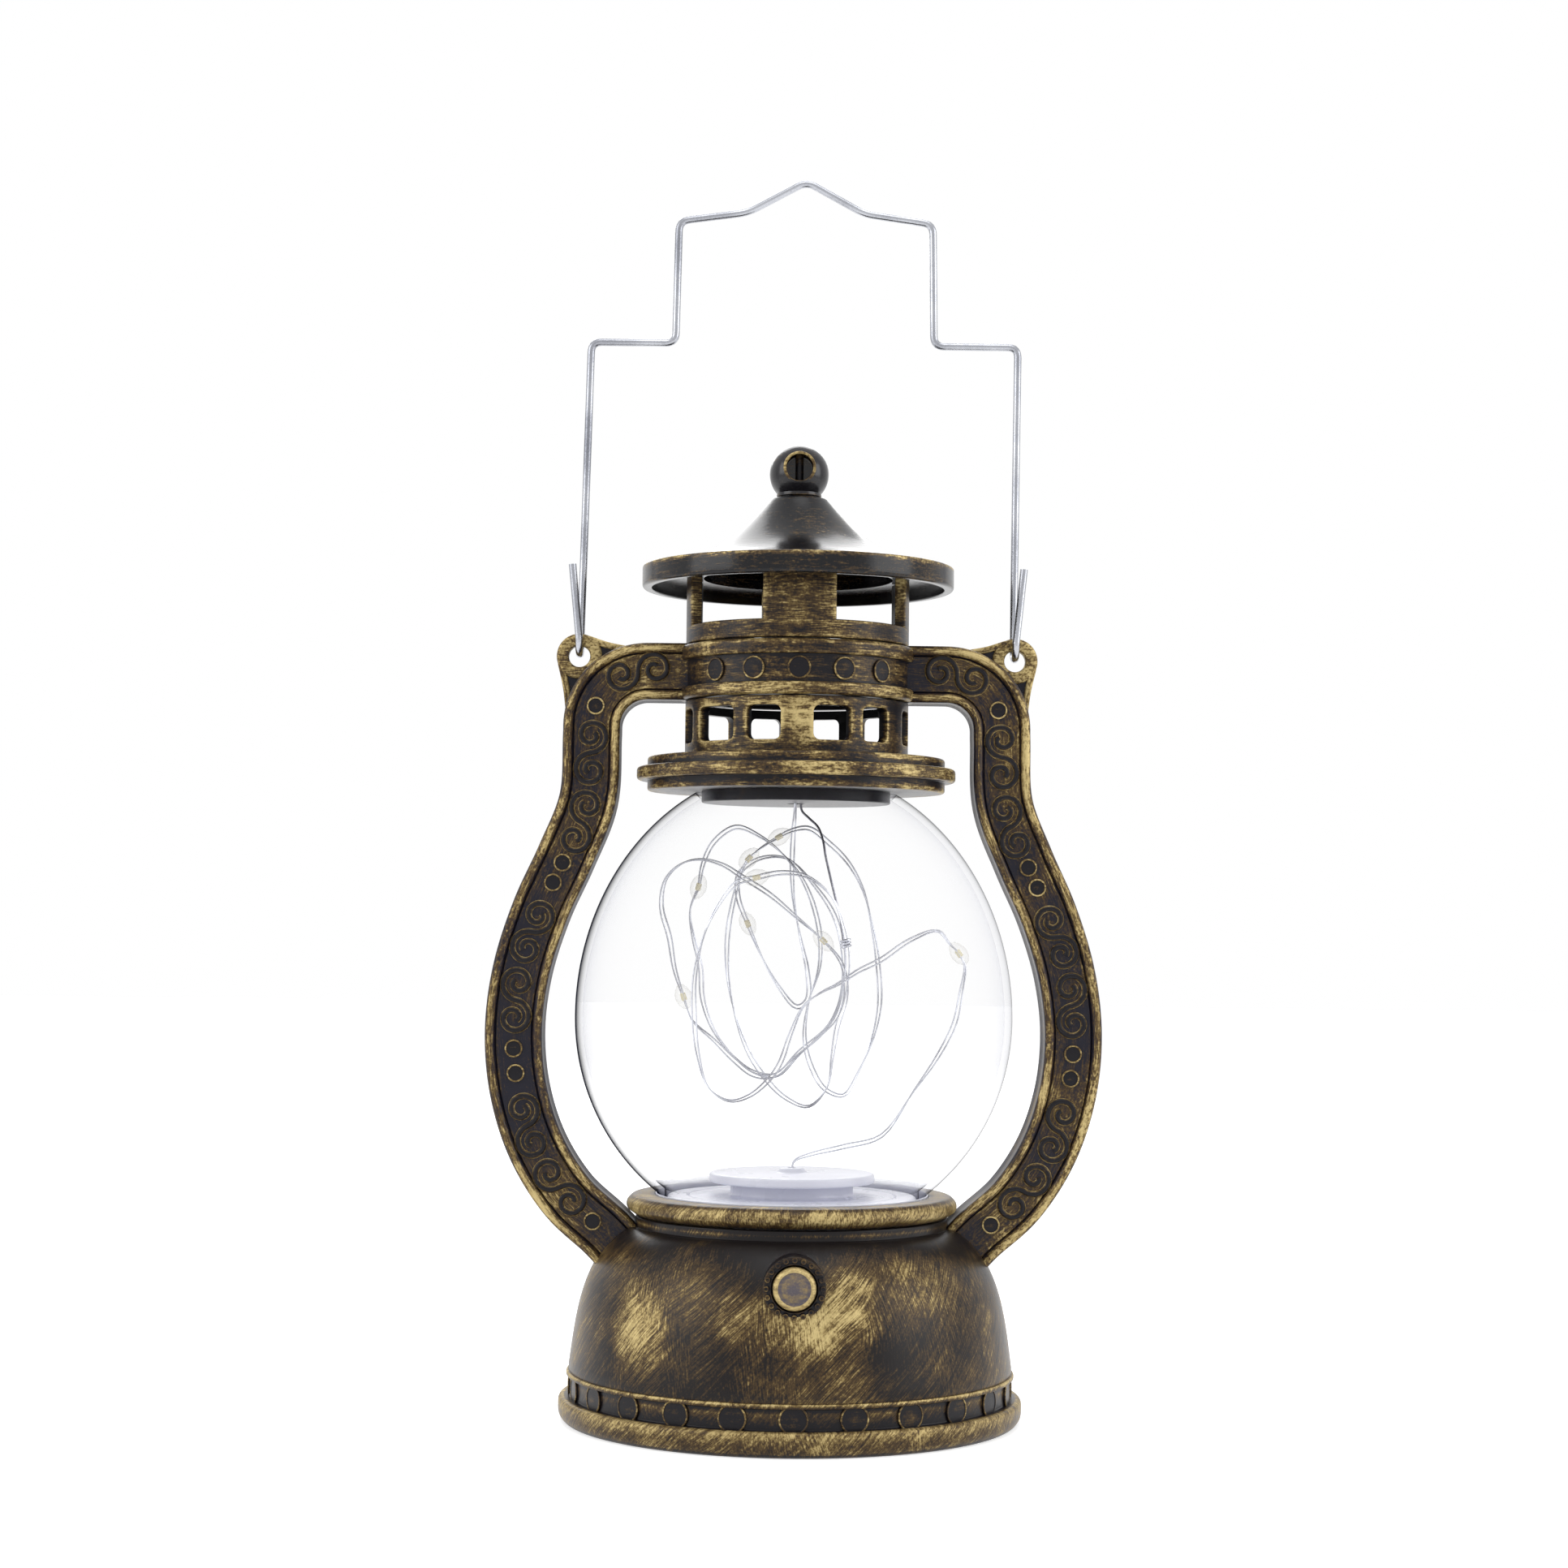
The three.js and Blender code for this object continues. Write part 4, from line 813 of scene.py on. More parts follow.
class Solid:
    """A closed mesh in the making, in millimetres."""

    def __init__(self) -> None:
        """Starts with no points."""
        self.points: list[Vector] = []
        self.faces: list[tuple[int, ...]] = []
        self.shines: list[float] = []
        self.flows: list[Vector] = []

    def point(self, place: Vector, shine: float = 0, flow: Vector | None = None) -> int:
        """Adds a point and gives its number.

        Args:
            place: Its place in millimetres.
            shine: How much gold it takes.
            flow: Its place as the brush sees it, where that is another one.

        Returns:
            The point's number.
        """
        self.points.append(Vector(place))
        self.shines.append(shine)
        self.flows.append(Vector(flow or place))
        return len(self.points) - 1

    def rows(self, rows: Sequence[Sequence[int]], round_rows: bool, round_points: bool) -> None:
        """Faces between rows of points.

        Args:
            rows: Rows of point numbers, all of one length.
            round_rows: Whether the last row joins the first.
            round_points: Whether each row's last point joins its first.
        """
        count = len(rows[0])
        for i in range(len(rows) if round_rows else len(rows) - 1):
            first, second = rows[i], rows[(i + 1) % len(rows)]
            for j in range(count if round_points else count - 1):
                k = (j + 1) % count
                corners = dict.fromkeys((first[j], first[k], second[k], second[j]))
                if len(corners) > 2:
                    self.faces.append(tuple(corners))

    def capped(self, rows: Sequence[Sequence[int]]) -> None:
        """Closes the first and the last row."""
        self.faces += [tuple(rows[0]), tuple(reversed(rows[-1]))]

    def bare_inside(self, radius: float) -> "Solid":
        """Keeps the paint off the points that lie nearer to the Z axis than a radius.

        Args:
            radius: The radius.

        Returns:
            The solid itself.
        """
        self.shines = [
            -2.0 if math.hypot(spot.x, spot.y) < radius else shine
            for spot, shine in zip(self.points, self.shines)
        ]
        return self

    def moved(self, matrix: Matrix) -> "Solid":
        """Moves all points."""
        self.points = [matrix @ place for place in self.points]
        return self

    def with_solid(self, other: "Solid") -> "Solid":
        """Takes another solid in.

        Args:
            other: The other solid.

        Returns:
            The solid itself.
        """
        start = len(self.points)
        self.points += other.points
        self.shines += other.shines
        self.flows += other.flows
        self.faces += [tuple(start + i for i in face) for face in other.faces]
        return self

    def built(self, name: str, finish: Finish, sharp: float = 40) -> bpy.types.Object:
        """Makes the object.

        Args:
            name: The object's name.
            finish: Its finish.
            sharp: The angle in degrees above which an edge stays sharp.

        Returns:
            The object, at the origin, with its place in its mesh.
        """
        mesh = bpy.data.meshes.new(name)
        mesh.from_pydata([place * MM for place in self.points], [], self.faces)
        shine = mesh.attributes.new("edge", "FLOAT", "POINT")
        shine.data.foreach_set("value", self.shines)
        flow = mesh.attributes.new("flow", "FLOAT_VECTOR", "POINT")
        flow.data.foreach_set("vector", [value for spot in self.flows for value in spot])
        tidied(mesh, sharp)
        mesh.materials.append(material_of(finish))
        return put(name, mesh)


def tidied(mesh: bpy.types.Mesh, sharp: float) -> None:
    """Merges doubles, turns the faces outwards and shades them smooth up to an angle.

    Args:
        mesh: The mesh.
        sharp: The angle in degrees.
    """
    work = bmesh.new()
    work.from_mesh(mesh)
    bmesh.ops.remove_doubles(work, verts=work.verts, dist=1e-6)
    bmesh.ops.recalc_face_normals(work, faces=work.faces)
    work.to_mesh(mesh)
    work.free()
    mesh.shade_smooth()
    mesh.set_sharp_from_angle(angle=math.radians(sharp))


def lathed(outline: Outline, steps: int = ROUND, closed: bool = True) -> Solid:
    """Turns an outline of radius and height about the Z axis.

    Args:
        outline: The outline; ends on the axis where it isn't closed.
        steps: Points round the axis.
        closed: Whether the last point joins the first.

    Returns:
        The solid.
    """
    solid = Solid()
    rows = []
    for (radius, height), shine in zip(outline.points, outline.shines):
        if radius < 1e-6:
            rows.append([solid.point(Vector((0, 0, height)), shine)] * steps)
            continue
        row = []
        for step in range(steps):
            angle = math.tau * step / steps
            spot = Vector((radius * math.sin(angle), -radius * math.cos(angle), height))
            row.append(solid.point(spot, shine))
        rows.append(row)
    solid.rows(rows, closed, True)
    return solid


def spun(corners: Sequence[Corner], steps: int = ROUND, closed: bool = True) -> Solid:
    """Rounds an outline's corners and turns it about the Z axis.

    Args:
        corners: The outline's corners, by radius and height.
        steps: Points round the axis.
        closed: Whether the last corner joins the first; if not, both lie on the axis.

    Returns:
        The solid.
    """
    return lathed(rounded(corners, closed), steps, closed)


def swept(
    path: Sequence[Vector], across: Sequence[Vector], deep: Vector, section: Outline,
) -> Solid:
    """Sweeps a closed section along a path.

    Args:
        path: The path's points.
        across: The section's first direction at each point.
        deep: The section's second direction, the same all along.
        section: The section's points.

    Returns:
        The solid, closed at both ends.
    """
    solid = Solid()
    rows = []
    run = 0.0
    for i, (spot, side) in enumerate(zip(path, across)):
        run += (spot - path[i - 1]).length if i else 0
        rows.append([
            solid.point(spot + side * w + deep * d, shine, Vector((run, w, d)))
            for (w, d), shine in zip(section.points, section.shines)
        ])
    solid.rows(rows, False, True)
    solid.capped(rows)
    return solid


def smooth_through(points: Sequence[Vector], steps: int) -> list[Vector]:
    """Points on a centripetal spline through the given points.

    Args:
        points: The points that the spline passes.
        steps: Points on each span.

    Returns:
        The spline's points, with the given ones among them.
    """
    ghosts = [2 * points[0] - points[1], *points, 2 * points[-1] - points[-2]]
    made = []
    for a, b, c, d in zip(ghosts, ghosts[1:], ghosts[2:], ghosts[3:]):
        k, m, n = (b - a).length ** 0.5, (c - b).length ** 0.5, (d - c).length ** 0.5
        leave = ((b - a) / k - (c - a) / (k + m) + (c - b) / m) * m
        reach = ((c - b) / m - (d - b) / (m + n) + (d - c) / n) * m
        for i in range(steps):
            t = i / steps
            square = (3 * (c - b) - 2 * leave - reach) * t * t
            made.append(b + leave * t + square + (2 * (b - c) + leave + reach) * t ** 3)
    return [*made, points[-1]]


def directions(path: Sequence[Vector]) -> list[Vector]:
    """Unit directions of a path at its points."""
    last = len(path) - 1
    return [(path[min(i + 1, last)] - path[max(i - 1, 0)]).normalized() for i in range(last + 1)]


def curve_of(name: str, path: Sequence[Vector]) -> bpy.types.Object:
    """A curve of one open spline through points in millimetres.

    Args:
        name: The curve's name.
        path: The points.

    Returns:
        The curve's object.
    """
    curve = bpy.data.curves.new(name, "CURVE")
    curve.dimensions = "3D"
    spline = curve.splines.new("POLY")
    spline.points.add(len(path) - 1)
    for point, spot in zip(spline.points, path):
        point.co = (*(spot * MM), 1)
    return put(name, curve)


def fitted(piece: bpy.types.Object, slot: str, *nodes: str, body: str = BODY) -> None:
    """Seats a finished piece on its body.

    Args:
        piece: The piece.
        slot: A slot name; not used.
        *nodes: The solids that it stands for.
        body: The body that it rides on.
    """
    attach(piece, body)
    if nodes:
        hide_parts(*nodes)


def cut_by(piece: bpy.types.Object, cutters: Iterable[bpy.types.Object]) -> bpy.types.Object:
    """Cuts pieces out of a piece and drops the cutters.

    Args:
        piece: The piece to cut.
        cutters: Closed meshes that are taken away.

    Returns:
        The piece.
    """
    for cutter in cutters:
        modifier = piece.modifiers.new("cut", "BOOLEAN")
        modifier.operation = "DIFFERENCE"
        modifier.solver = "EXACT"
        modifier.object = cutter
        settled(piece)
        dropped(cutter)
    tidied(piece.data, 35)
    return piece


def settled(piece: bpy.types.Object) -> None:
    """Turns what a piece's modifiers make into its own plain mesh.

    Args:
        piece: The piece.
    """
    seen = piece.evaluated_get(bpy.context.evaluated_depsgraph_get())
    mesh = bpy.data.meshes.new_from_object(seen)
    piece.modifiers.clear()
    piece.data = mesh


def dropped(*things: bpy.types.Object) -> None:
    """Deletes helper objects."""
    for thing in things:
        bpy.data.objects.remove(thing)


# Geometry trees


class Tree(Sheet):
    """A geometry tree with named inputs, which ends in a real mesh with its material."""

    def __init__(self, name: str, inputs: dict[str, str]) -> None:
        """Makes the tree.

        Args:
            name: The tree's name.
            inputs: The inputs' names and the kinds of their sockets.
        """
        group = bpy.data.node_groups.new(name, "GeometryNodeTree")
        super().__init__(group)
        self.names: dict[str, str] = {}
        for label, kind in {"Geometry": "NodeSocketGeometry", **inputs}.items():
            made = group.interface.new_socket(label, in_out="INPUT", socket_type=kind)
            self.names[label] = made.identifier
        group.interface.new_socket("Geometry", in_out="OUTPUT", socket_type="NodeSocketGeometry")
        self.start = self.node("NodeGroupInput")

    def __getitem__(self, name: str) -> Sock:
        """One of the tree's inputs."""
        return self.start.beside(name)

    def ended(self, *parts: Sock) -> "Tree":
        """Joins the parts, realises them and gives them the Finish input's material.

        Args:
            *parts: The parts.

        Returns:
            The tree itself.
        """
        join = self.tree.nodes.new("GeometryNodeJoinGeometry")
        for part in parts:
            self.tree.links.new(part.socket, join.inputs[0])
        real = self.node("GeometryNodeRealizeInstances", inputs={0: Sock(self, join.outputs[0])})
        dressed = self.node("GeometryNodeSetMaterial", inputs={0: real, "Material": self["Finish"]})
        self.node("NodeGroupOutput", inputs={0: dressed})
        return self

    def grown(
        self, name: str, points: bpy.types.Object | None = None, **values: Any,
    ) -> bpy.types.Object:
        """Runs the tree on an object and keeps the result as a plain mesh.

        Args:
            name: The name of a fresh object.
            points: The object that holds a row's points, instead of a fresh one.
            **values: Values of the tree's inputs, with _ for a blank in a name.

        Returns:
            The object.
        """
        host = points or put(name, bpy.data.meshes.new(name))
        modifier = host.modifiers.new(self.tree.name, "NODES")
        modifier.node_group = self.tree
        for label, value in values.items():
            modifier[self.names[label.replace("_", " ")]] = value
        settled(host)
        tidied(host.data, 40)
        return host


def ring_tree() -> Tree:
    """Studs set round a ring, each leaning outwards by an angle.

    Returns:
        The tree.
    """
    tree = Tree("studs_round_a_ring", {
        "Stud": "NodeSocketObject", "Count": "NodeSocketInt", "First Angle": "NodeSocketFloat",
        "Step": "NodeSocketFloat", "Radius": "NodeSocketFloat", "Lean": "NodeSocketFloat",
        "Place": "NodeSocketVector", "Turn": "NodeSocketVector", "Finish": "NodeSocketMaterial",
    })
    angle = tree.node("GeometryNodeInputIndex") * tree["Step"] + tree["First Angle"]
    sine = tree.node("ShaderNodeMath", {"operation": "SINE"}, {0: angle})
    cosine = tree.node("ShaderNodeMath", {"operation": "COSINE"}, {0: angle})
    spot = tree.combined(sine * tree["Radius"], cosine * tree["Radius"] * -1, 0)
    points = tree.node("GeometryNodePoints", inputs={"Count": tree["Count"], "Position": spot})
    stud = tree.node("GeometryNodeObjectInfo", inputs={"Object": tree["Stud"]}, out="Geometry")
    studs = tree.node("GeometryNodeInstanceOnPoints", inputs={
        "Points": points, "Instance": stud, "Rotation": tree.combined(tree["Lean"], 0, angle),
    })
    placed = tree.node("GeometryNodeTransform", inputs={
        "Geometry": studs, "Translation": tree["Place"], "Rotation": tree["Turn"],
    })
    return tree.ended(placed)


def strand_tree(name: str, phases: Sequence[float]) -> Tree:
    """Round strands that wind about a path.

    Args:
        name: The tree's name.
        phases: Where round the path each strand starts, in turns.

    Returns:
        The tree.
    """
    tree = Tree(name, {
        "Path": "NodeSocketObject", "Step": "NodeSocketFloat", "Radius": "NodeSocketFloat",
        "Spread": "NodeSocketFloat", "Twist": "NodeSocketFloat", "Sides": "NodeSocketInt",
        "Finish": "NodeSocketMaterial",
    })
    path = tree.node("GeometryNodeObjectInfo", inputs={"Object": tree["Path"]}, out="Geometry")
    even = tree.node("GeometryNodeResampleCurve", {"mode": "LENGTH"}, {
        "Curve": path, "Length": tree["Step"],
    })
    section = tree.node("GeometryNodeCurvePrimitiveCircle", inputs={
        "Resolution": tree["Sides"], "Radius": tree["Radius"],
    })
    normal = tree.node("GeometryNodeInputNormal")
    tangent = tree.node("GeometryNodeInputTangent")
    beside = tree.vector("CROSS_PRODUCT", tangent, normal)
    run = tree.node("GeometryNodeSplineParameter", out="Length")
    strands = []
    for phase in phases:
        angle = run * tree["Twist"] + phase * math.tau
        sine = tree.node("ShaderNodeMath", {"operation": "SINE"}, {0: angle})
        cosine = tree.node("ShaderNodeMath", {"operation": "COSINE"}, {0: angle})
        out = tree.vector("SCALE", normal, factor=cosine * tree["Spread"])
        up = tree.vector("SCALE", beside, factor=sine * tree["Spread"])
        wound = tree.node("GeometryNodeSetPosition", inputs={
            "Geometry": even, "Offset": tree.vector("ADD", out, up),
        })
        strands.append(tree.node("GeometryNodeCurveToMesh", inputs={
            "Curve": wound, "Profile Curve": section, "Fill Caps": True,
        }))
    return tree.ended(*strands)


def wire_of(
    single: Tree, name: str, path: Sequence[Vector], finish: Finish, radius: float,
    step: float = 0.4, sides: int = 16,
) -> bpy.types.Object:
    """A round wire along a path, its sizes in millimetres.

    Args:
        single: The tree of a single strand.
        name: The object's name.
        path: The path's points.
        finish: The wire's finish.
        radius: The wire's radius.
        step: How far its rings lie apart.
        sides: Points round the wire.

    Returns:
        The wire.
    """
    line = curve_of("wire_path", path)
    wire = single.grown(
        name, Path=line, Step=step * MM, Radius=radius * MM, Spread=0.0, Twist=0.0,
        Sides=sides, Finish=material_of(finish),
    )
    dropped(line)
    return wire


def row_tree(name: str, pivot: str) -> Tree:
    """Pieces set in a row along a path, one at each given length of it.

    Args:
        name: The tree's name.
        pivot: The axis about which the pieces turn with the path.

    Returns:
        The tree.
    """
    tree = Tree(name, {
        "Path": "NodeSocketObject", "First": "NodeSocketObject", "Second": "NodeSocketObject",
        "Lift": "NodeSocketFloat", "Finish": "NodeSocketMaterial",
    })

    def named(label: str) -> Sock:
        """A number that the row's points keep."""
        return tree.node("GeometryNodeInputNamedAttribute", {"data_type": "FLOAT"}, {0: label})

    path = tree.node("GeometryNodeObjectInfo", inputs={"Object": tree["Path"]}, out="Geometry")
    here = tree.node("GeometryNodeSampleCurve", {"mode": "LENGTH"}, {
        "Curves": path, "Length": named("along"),
    }, out="Position")
    spot = tree.vector("ADD", here, tree.combined(0, named("face") * tree["Lift"], 0))
    placed = tree.node("GeometryNodeSetPosition", inputs={
        "Geometry": tree["Geometry"], "Position": spot,
    })
    flip = tree.combined(0, 0, named("flip") * math.pi)
    turn = tree.node("FunctionNodeAlignRotationToVector", {"axis": "Z", "pivot_axis": pivot}, {
        "Vector": here.beside("Tangent"),
    })
    whole = tree.node("FunctionNodeRotateRotation", {"rotation_space": "LOCAL"}, {
        "Rotation": turn, "Rotate By": flip,
    })
    kinds = []
    for label, kind in (("First", 0), ("Second", 1)):
        piece = tree.node("GeometryNodeObjectInfo", inputs={"Object": tree[label]}, out="Geometry")
        chosen = tree.node("FunctionNodeCompare", {"operation": "EQUAL"}, {
            "A": named("kind"), "B": float(kind), "Epsilon": 0.1,
        })
        kinds.append(tree.node("GeometryNodeInstanceOnPoints", inputs={
            "Points": placed, "Selection": chosen, "Instance": piece, "Rotation": whole,
        }))
    return tree.ended(*kinds)


def row_points(name: str, places: Sequence[tuple[float, int, int, int]]) -> bpy.types.Object:
    """Points that carry what a row holds.

    Args:
        name: The object's name.
        places: For each piece its length along the path in millimetres, its kind, whether it
            is flipped, and its face, -1 to the front and 1 to the back.

    Returns:
        The object.
    """
    mesh = bpy.data.meshes.new(name)
    mesh.from_pydata([(0, 0, 0)] * len(places), [], [])
    for column, label in enumerate(("along", "kind", "flip", "face")):
        values = [place[column] * (MM if column == 0 else 1) for place in places]
        mesh.attributes.new(label, "FLOAT", "POINT").data.foreach_set("value", values)
    return put(name, mesh)


# Studio


@dataclass
class Studio:
    """Plain pale floor, soft lamps and the camera at the photograph's angle.

    Angles are in degrees. level is the world's light where the camera doesn't see it, and
    aim_height, in metres, is where the lamps look.
    """

    distance: float = 576
    eye_height: float = 96.2
    azimuth: float = -1.0
    pitch: float = 2.767
    roll: float = 0.62
    turn: float = 0.236
    focal_share: float = 3600 / 1932
    sensor: float = 36
    level: float = 0.45
    aim_height: float = 0.11
    floor_half: float = 3000

    def camera(self) -> None:
        """Sets the scene's camera."""
        lens = bpy.data.cameras.new("camera")
        lens.sensor_width = self.sensor
        lens.lens = self.focal_share * self.sensor
        lens.clip_start = 0.01
        eye = put("camera", lens)
        angle = math.radians(self.azimuth)
        place = Vector((math.sin(angle), -math.cos(angle), 0)) * self.distance
        place.z = self.eye_height
        look = Matrix.Rotation(angle + math.radians(self.turn), 4, "Z")
        tilt = Matrix.Rotation(math.radians(90 + self.pitch), 4, "X")
        lean = Matrix.Rotation(math.radians(self.roll), 4, "Z")
        eye.matrix_world = Matrix.Translation(place * MM) @ look @ tilt @ lean
        bpy.context.scene.camera = eye

    def world(self) -> None:
        """Gives the world a white backdrop and an even light."""
        world = bpy.data.worlds.new("studio")
        bpy.context.scene.world = world
        world.use_nodes = True
        sheet = Sheet(world.node_tree)
        strength = sheet.seen() * (1 - self.level) + self.level
        back = sheet.node("ShaderNodeBackground", inputs={"Color": (1, 1, 1, 1)})
        sheet.tree.links.new(strength.socket, back.socket.node.inputs["Strength"])
        sheet.node("ShaderNodeOutputWorld", inputs={"Surface": back})

    def floor(self) -> None:
        """Lays the floor, white to the camera but for the lantern's shadow."""
        solid = Solid()
        half = self.floor_half
        for x, y in ((-half, -half), (half, -half), (half, half), (-half, half)):
            solid.point(Vector((x, y, 0)))
        solid.faces.append((0, 1, 2, 3))
        solid.built("floor", FLOOR_WHITE)

    def lamp(self, name: str, place: Place, size: float, power: float) -> None:
        """Sets a soft square lamp that looks at the lantern's middle.

        Args:
            name: The lamp's name.
            place: Its place in metres.
            size: Its side in metres.
            power: Its power in watts.
        """
        light = bpy.data.lights.new(name, "AREA")
        light.size = size
        light.energy = power
        lamp = put(name, light)
        lamp.location = place
        aim = Vector((0, 0, self.aim_height)) - lamp.location
        lamp.rotation_euler = aim.to_track_quat("-Z", "Y").to_euler()

    def lamps(self) -> None:
        """Sets the lamps: two large side ones, one above and one high at the back."""
        self.lamp("left_lamp", (-0.8, -0.35, 0.45), 0.6, 2.8)
        self.lamp("right_lamp", (0.85, -0.3, 0.4), 0.6, 3.0)
        self.lamp("top_lamp", (0.05, -0.3, 1.0), 0.6, 2.4)
        self.lamp("back_lamp", (-0.1, 0.9, 0.8), 0.8, 5.5)


# Pieces


def radial(angle: float, radius: float, height: float) -> Vector:
    """A point at an angle in degrees from the front, positive to the right."""
    turn = math.radians(angle)
    return Vector((radius * math.sin(turn), -radius * math.cos(turn), height))


def stud(radius: float, rise: float, turn: Matrix | None = None) -> bpy.types.Object:
    """A low dark stud on the Z axis with a painted highlight round its rim and painted shade on its
    side, for a tree to repeat.

    Args:
        radius: Its radius.
        rise: How far its rim stands out.
        turn: How it is turned.

    Returns:
        The stud, which is dropped after use.
    """
    # glint is the painted highlight on the rim; the stud's side, at -0.8, is painted shade.
    rim, glint = min(0.3, radius * 0.4), 0.85 if radius > 1 else 0.55
    outline = rounded([
        Corner(0, rise * 0.8, 0, 0.1), Corner(radius * 0.4, rise * 0.75, 0, -0.2),
        Corner(radius - rim - 0.1, rise * 0.7, 0, -0.6), Corner(radius - rim, rise, 0, glint),
        Corner(radius, rise, rim * 0.6, glint), Corner(radius, 0.05, 0, -0.8),
        Corner(radius, -0.8), Corner(0, -0.8),
    ], closed=False)
    return lathed(outline, 24, closed=False).moved(turn or Matrix()).built("stud", STUD_BRONZE)


def studs_round(
    ring: Tree, name: str, size: tuple[float, float], count: int, radius: float, place: Place,
    first: float = 0, step: float | None = None, front: bool = False,
) -> bpy.types.Object:
    """Equal studs round a ring, in millimetres and degrees.

    Args:
        ring: The tree that repeats them.
        name: The object's name.
        size: A stud's radius and how far its rim stands out.
        count: How many there are.
        radius: The ring's radius.
        place: The ring's centre.
        first: Where the first one stands.
        step: How far it is to the next one; they stand evenly all round without it.
        front: Whether the ring lies on the lantern's front, instead of round the Z axis.

    Returns:
        The studs.
    """
    one = stud(*size)
    studs = ring.grown(
        name, Stud=one, Count=count, First_Angle=math.radians(first),
        Step=math.radians(step or 360 / count), Radius=radius * MM,
        Lean=0.0 if front else math.pi / 2, Place=tuple(value * MM for value in place),
        Turn=(math.pi / 2 if front else 0.0, 0.0, 0.0), Finish=material_of(STUD_BRONZE),
    )
    dropped(one)
    return studs


@dataclass
class Base:
    """Base shell with its band of studs, the button in its collar, and the seat ring."""

    foot_radius: float = 45.1
    foot_height: float = 4.8
    foot_inner: float = 40.8
    band_radius: float = 42.8
    rib_bottom: float = 8.8
    rib_radius: float = 43.6
    dome_bottom: float = 9.6
    dome_height: float = 27.8
    dome_foot: float = 43.3
    dome_top: float = 31.4
    neck_radius: float = 30.5
    neck_bottom: float = 37.5
    deck: float = 39.5
    deck_under: float = 36.0
    wall: float = 2.0
    wire_hole: float = 5.0
    stud_count: int = 24
    stud_size: tuple[float, float] = (2.75, 0.4)
    button_height: float = 30.05
    collar_front: float = 40.43
    collar_radius: float = 5.8
    collar_depth: float = 6.6
    groove_outer: float = 5.3
    groove: float = 4.9
    pocket: float = 4.3
    pocket_depth: float = 4.6
    stem_bore: float = 2.3
    hole_radius: float = 5.1
    button_radius: float = 4.0
    button_rise: float = 0.8
    button_stem: float = 2.0
    stem_length: float = 8.5
    skirt: float = 3.6
    bead_count: int = 20
    bead_size: tuple[float, float] = (0.5, 0.35)
    bead_ring: float = 5.2
    shoulder_start: float = 33
    seat_bore: float = 26.7
    seat_radius: float = 32.3
    seat_bottom: float = 39.8
    seat_top: float = 43.6

    def dome_radius(self, height: float) -> float:
        """The dome's radius at a height.

        Args:
            height: The height.

        Returns:
            The radius.
        """
        t = (height - self.dome_bottom) / self.dome_height
        t = max(0.0, min(1.0, t))
        full = (1 - 0.3 * t) * (1 - t ** 4) ** 0.75
        return self.dome_top + (self.dome_foot - self.dome_top) * full

    def gold_share(self, height: float) -> float:
        """How much gold the dome takes at a height: little at its foot and its shoulder.

        Args:
            height: The height.

        Returns:
            What the gold changes by, 0 or less.
        """
        foot = max(0.0, 1 - (height - self.dome_bottom) / 4)
        start = self.shoulder_start
        shoulder = max(0.0, (height - start) / (self.neck_bottom - start))
        return -0.8 * foot - 2.5 * shoulder

    def shell(self) -> None:
        """Builds the foot ring and the dome, with a hole for the button's collar."""
        steps = 40
        rise = [math.sin(i / steps * math.pi / 2) for i in range(1, steps + 1)]
        heights = [self.dome_bottom + self.dome_height * t for t in rise]
        outer = [Corner(self.dome_radius(z), z, 0, self.gold_share(z)) for z in heights]
        inner = [Corner(self.dome_radius(z) - self.wall, z) for z in reversed(heights)
                 if z < self.deck_under - 0.5]
        foot = rounded([
            Corner(self.foot_inner, 0, 0.4, -2), Corner(self.foot_radius - 1.2, 0, 0.8, -1),
            Corner(self.foot_radius, 1.5, 1.2, 0.1),
            Corner(self.foot_radius, self.foot_height, 1.9, 0.8),
            Corner(self.band_radius, self.foot_height, 0.3, -2.2),
            Corner(self.band_radius, self.foot_height + 1.6, 0, -1.2),
            Corner(self.band_radius, self.rib_bottom - 0.1, 0.2, -2),
            Corner(self.rib_radius, self.rib_bottom, 0.35, -0.3),
            Corner(self.rib_radius, self.dome_bottom - 0.25, 0, 0.9),
            Corner(self.rib_radius - 0.15, self.dome_bottom, 0, 1.2),
            Corner(self.dome_foot - 0.35, self.dome_bottom + 0.15, 0, -1),
            Corner(self.foot_inner, self.dome_bottom + 0.15, 0, -2),
        ])
        fitted(lathed(foot, 200).built("base_foot", FOOT_BRONZE), "bronze_plastic")
        outline = rounded([
            Corner(self.dome_foot - 0.35, self.dome_bottom - 0.5), *outer,
            Corner(self.dome_top - 0.5, self.neck_bottom, 0.2, -2.5),
            Corner(self.neck_radius, self.neck_bottom, 0.2, -2.5),
            Corner(self.neck_radius, self.deck, 0.3, -2.5),
            Corner(self.wire_hole, self.deck), Corner(self.wire_hole, self.deck_under),
            *inner, Corner(self.foot_inner, self.dome_bottom - 0.5),
        ])
        shell = lathed(outline, 200).built("base_dome", DOME_BRONZE)
        turn = facing_front(0, self.button_height)
        hole = spun(oblong(0, 30, self.hole_radius, 60), 48, closed=False).moved(turn)
        fitted(cut_by(shell, [hole.built("hole", BASE_BLACK)]), "bronze_plastic", "base_shell")

    def studs(self, ring: Tree) -> None:
        """Sets the studs round the band.

        Args:
            ring: The tree that sets studs round a ring.
        """
        middle = (self.foot_height + self.rib_bottom) / 2
        fitted(studs_round(
            ring, "band_studs", self.stud_size, self.stud_count, self.band_radius, (0, 0, middle),
        ), "bronze_plastic")

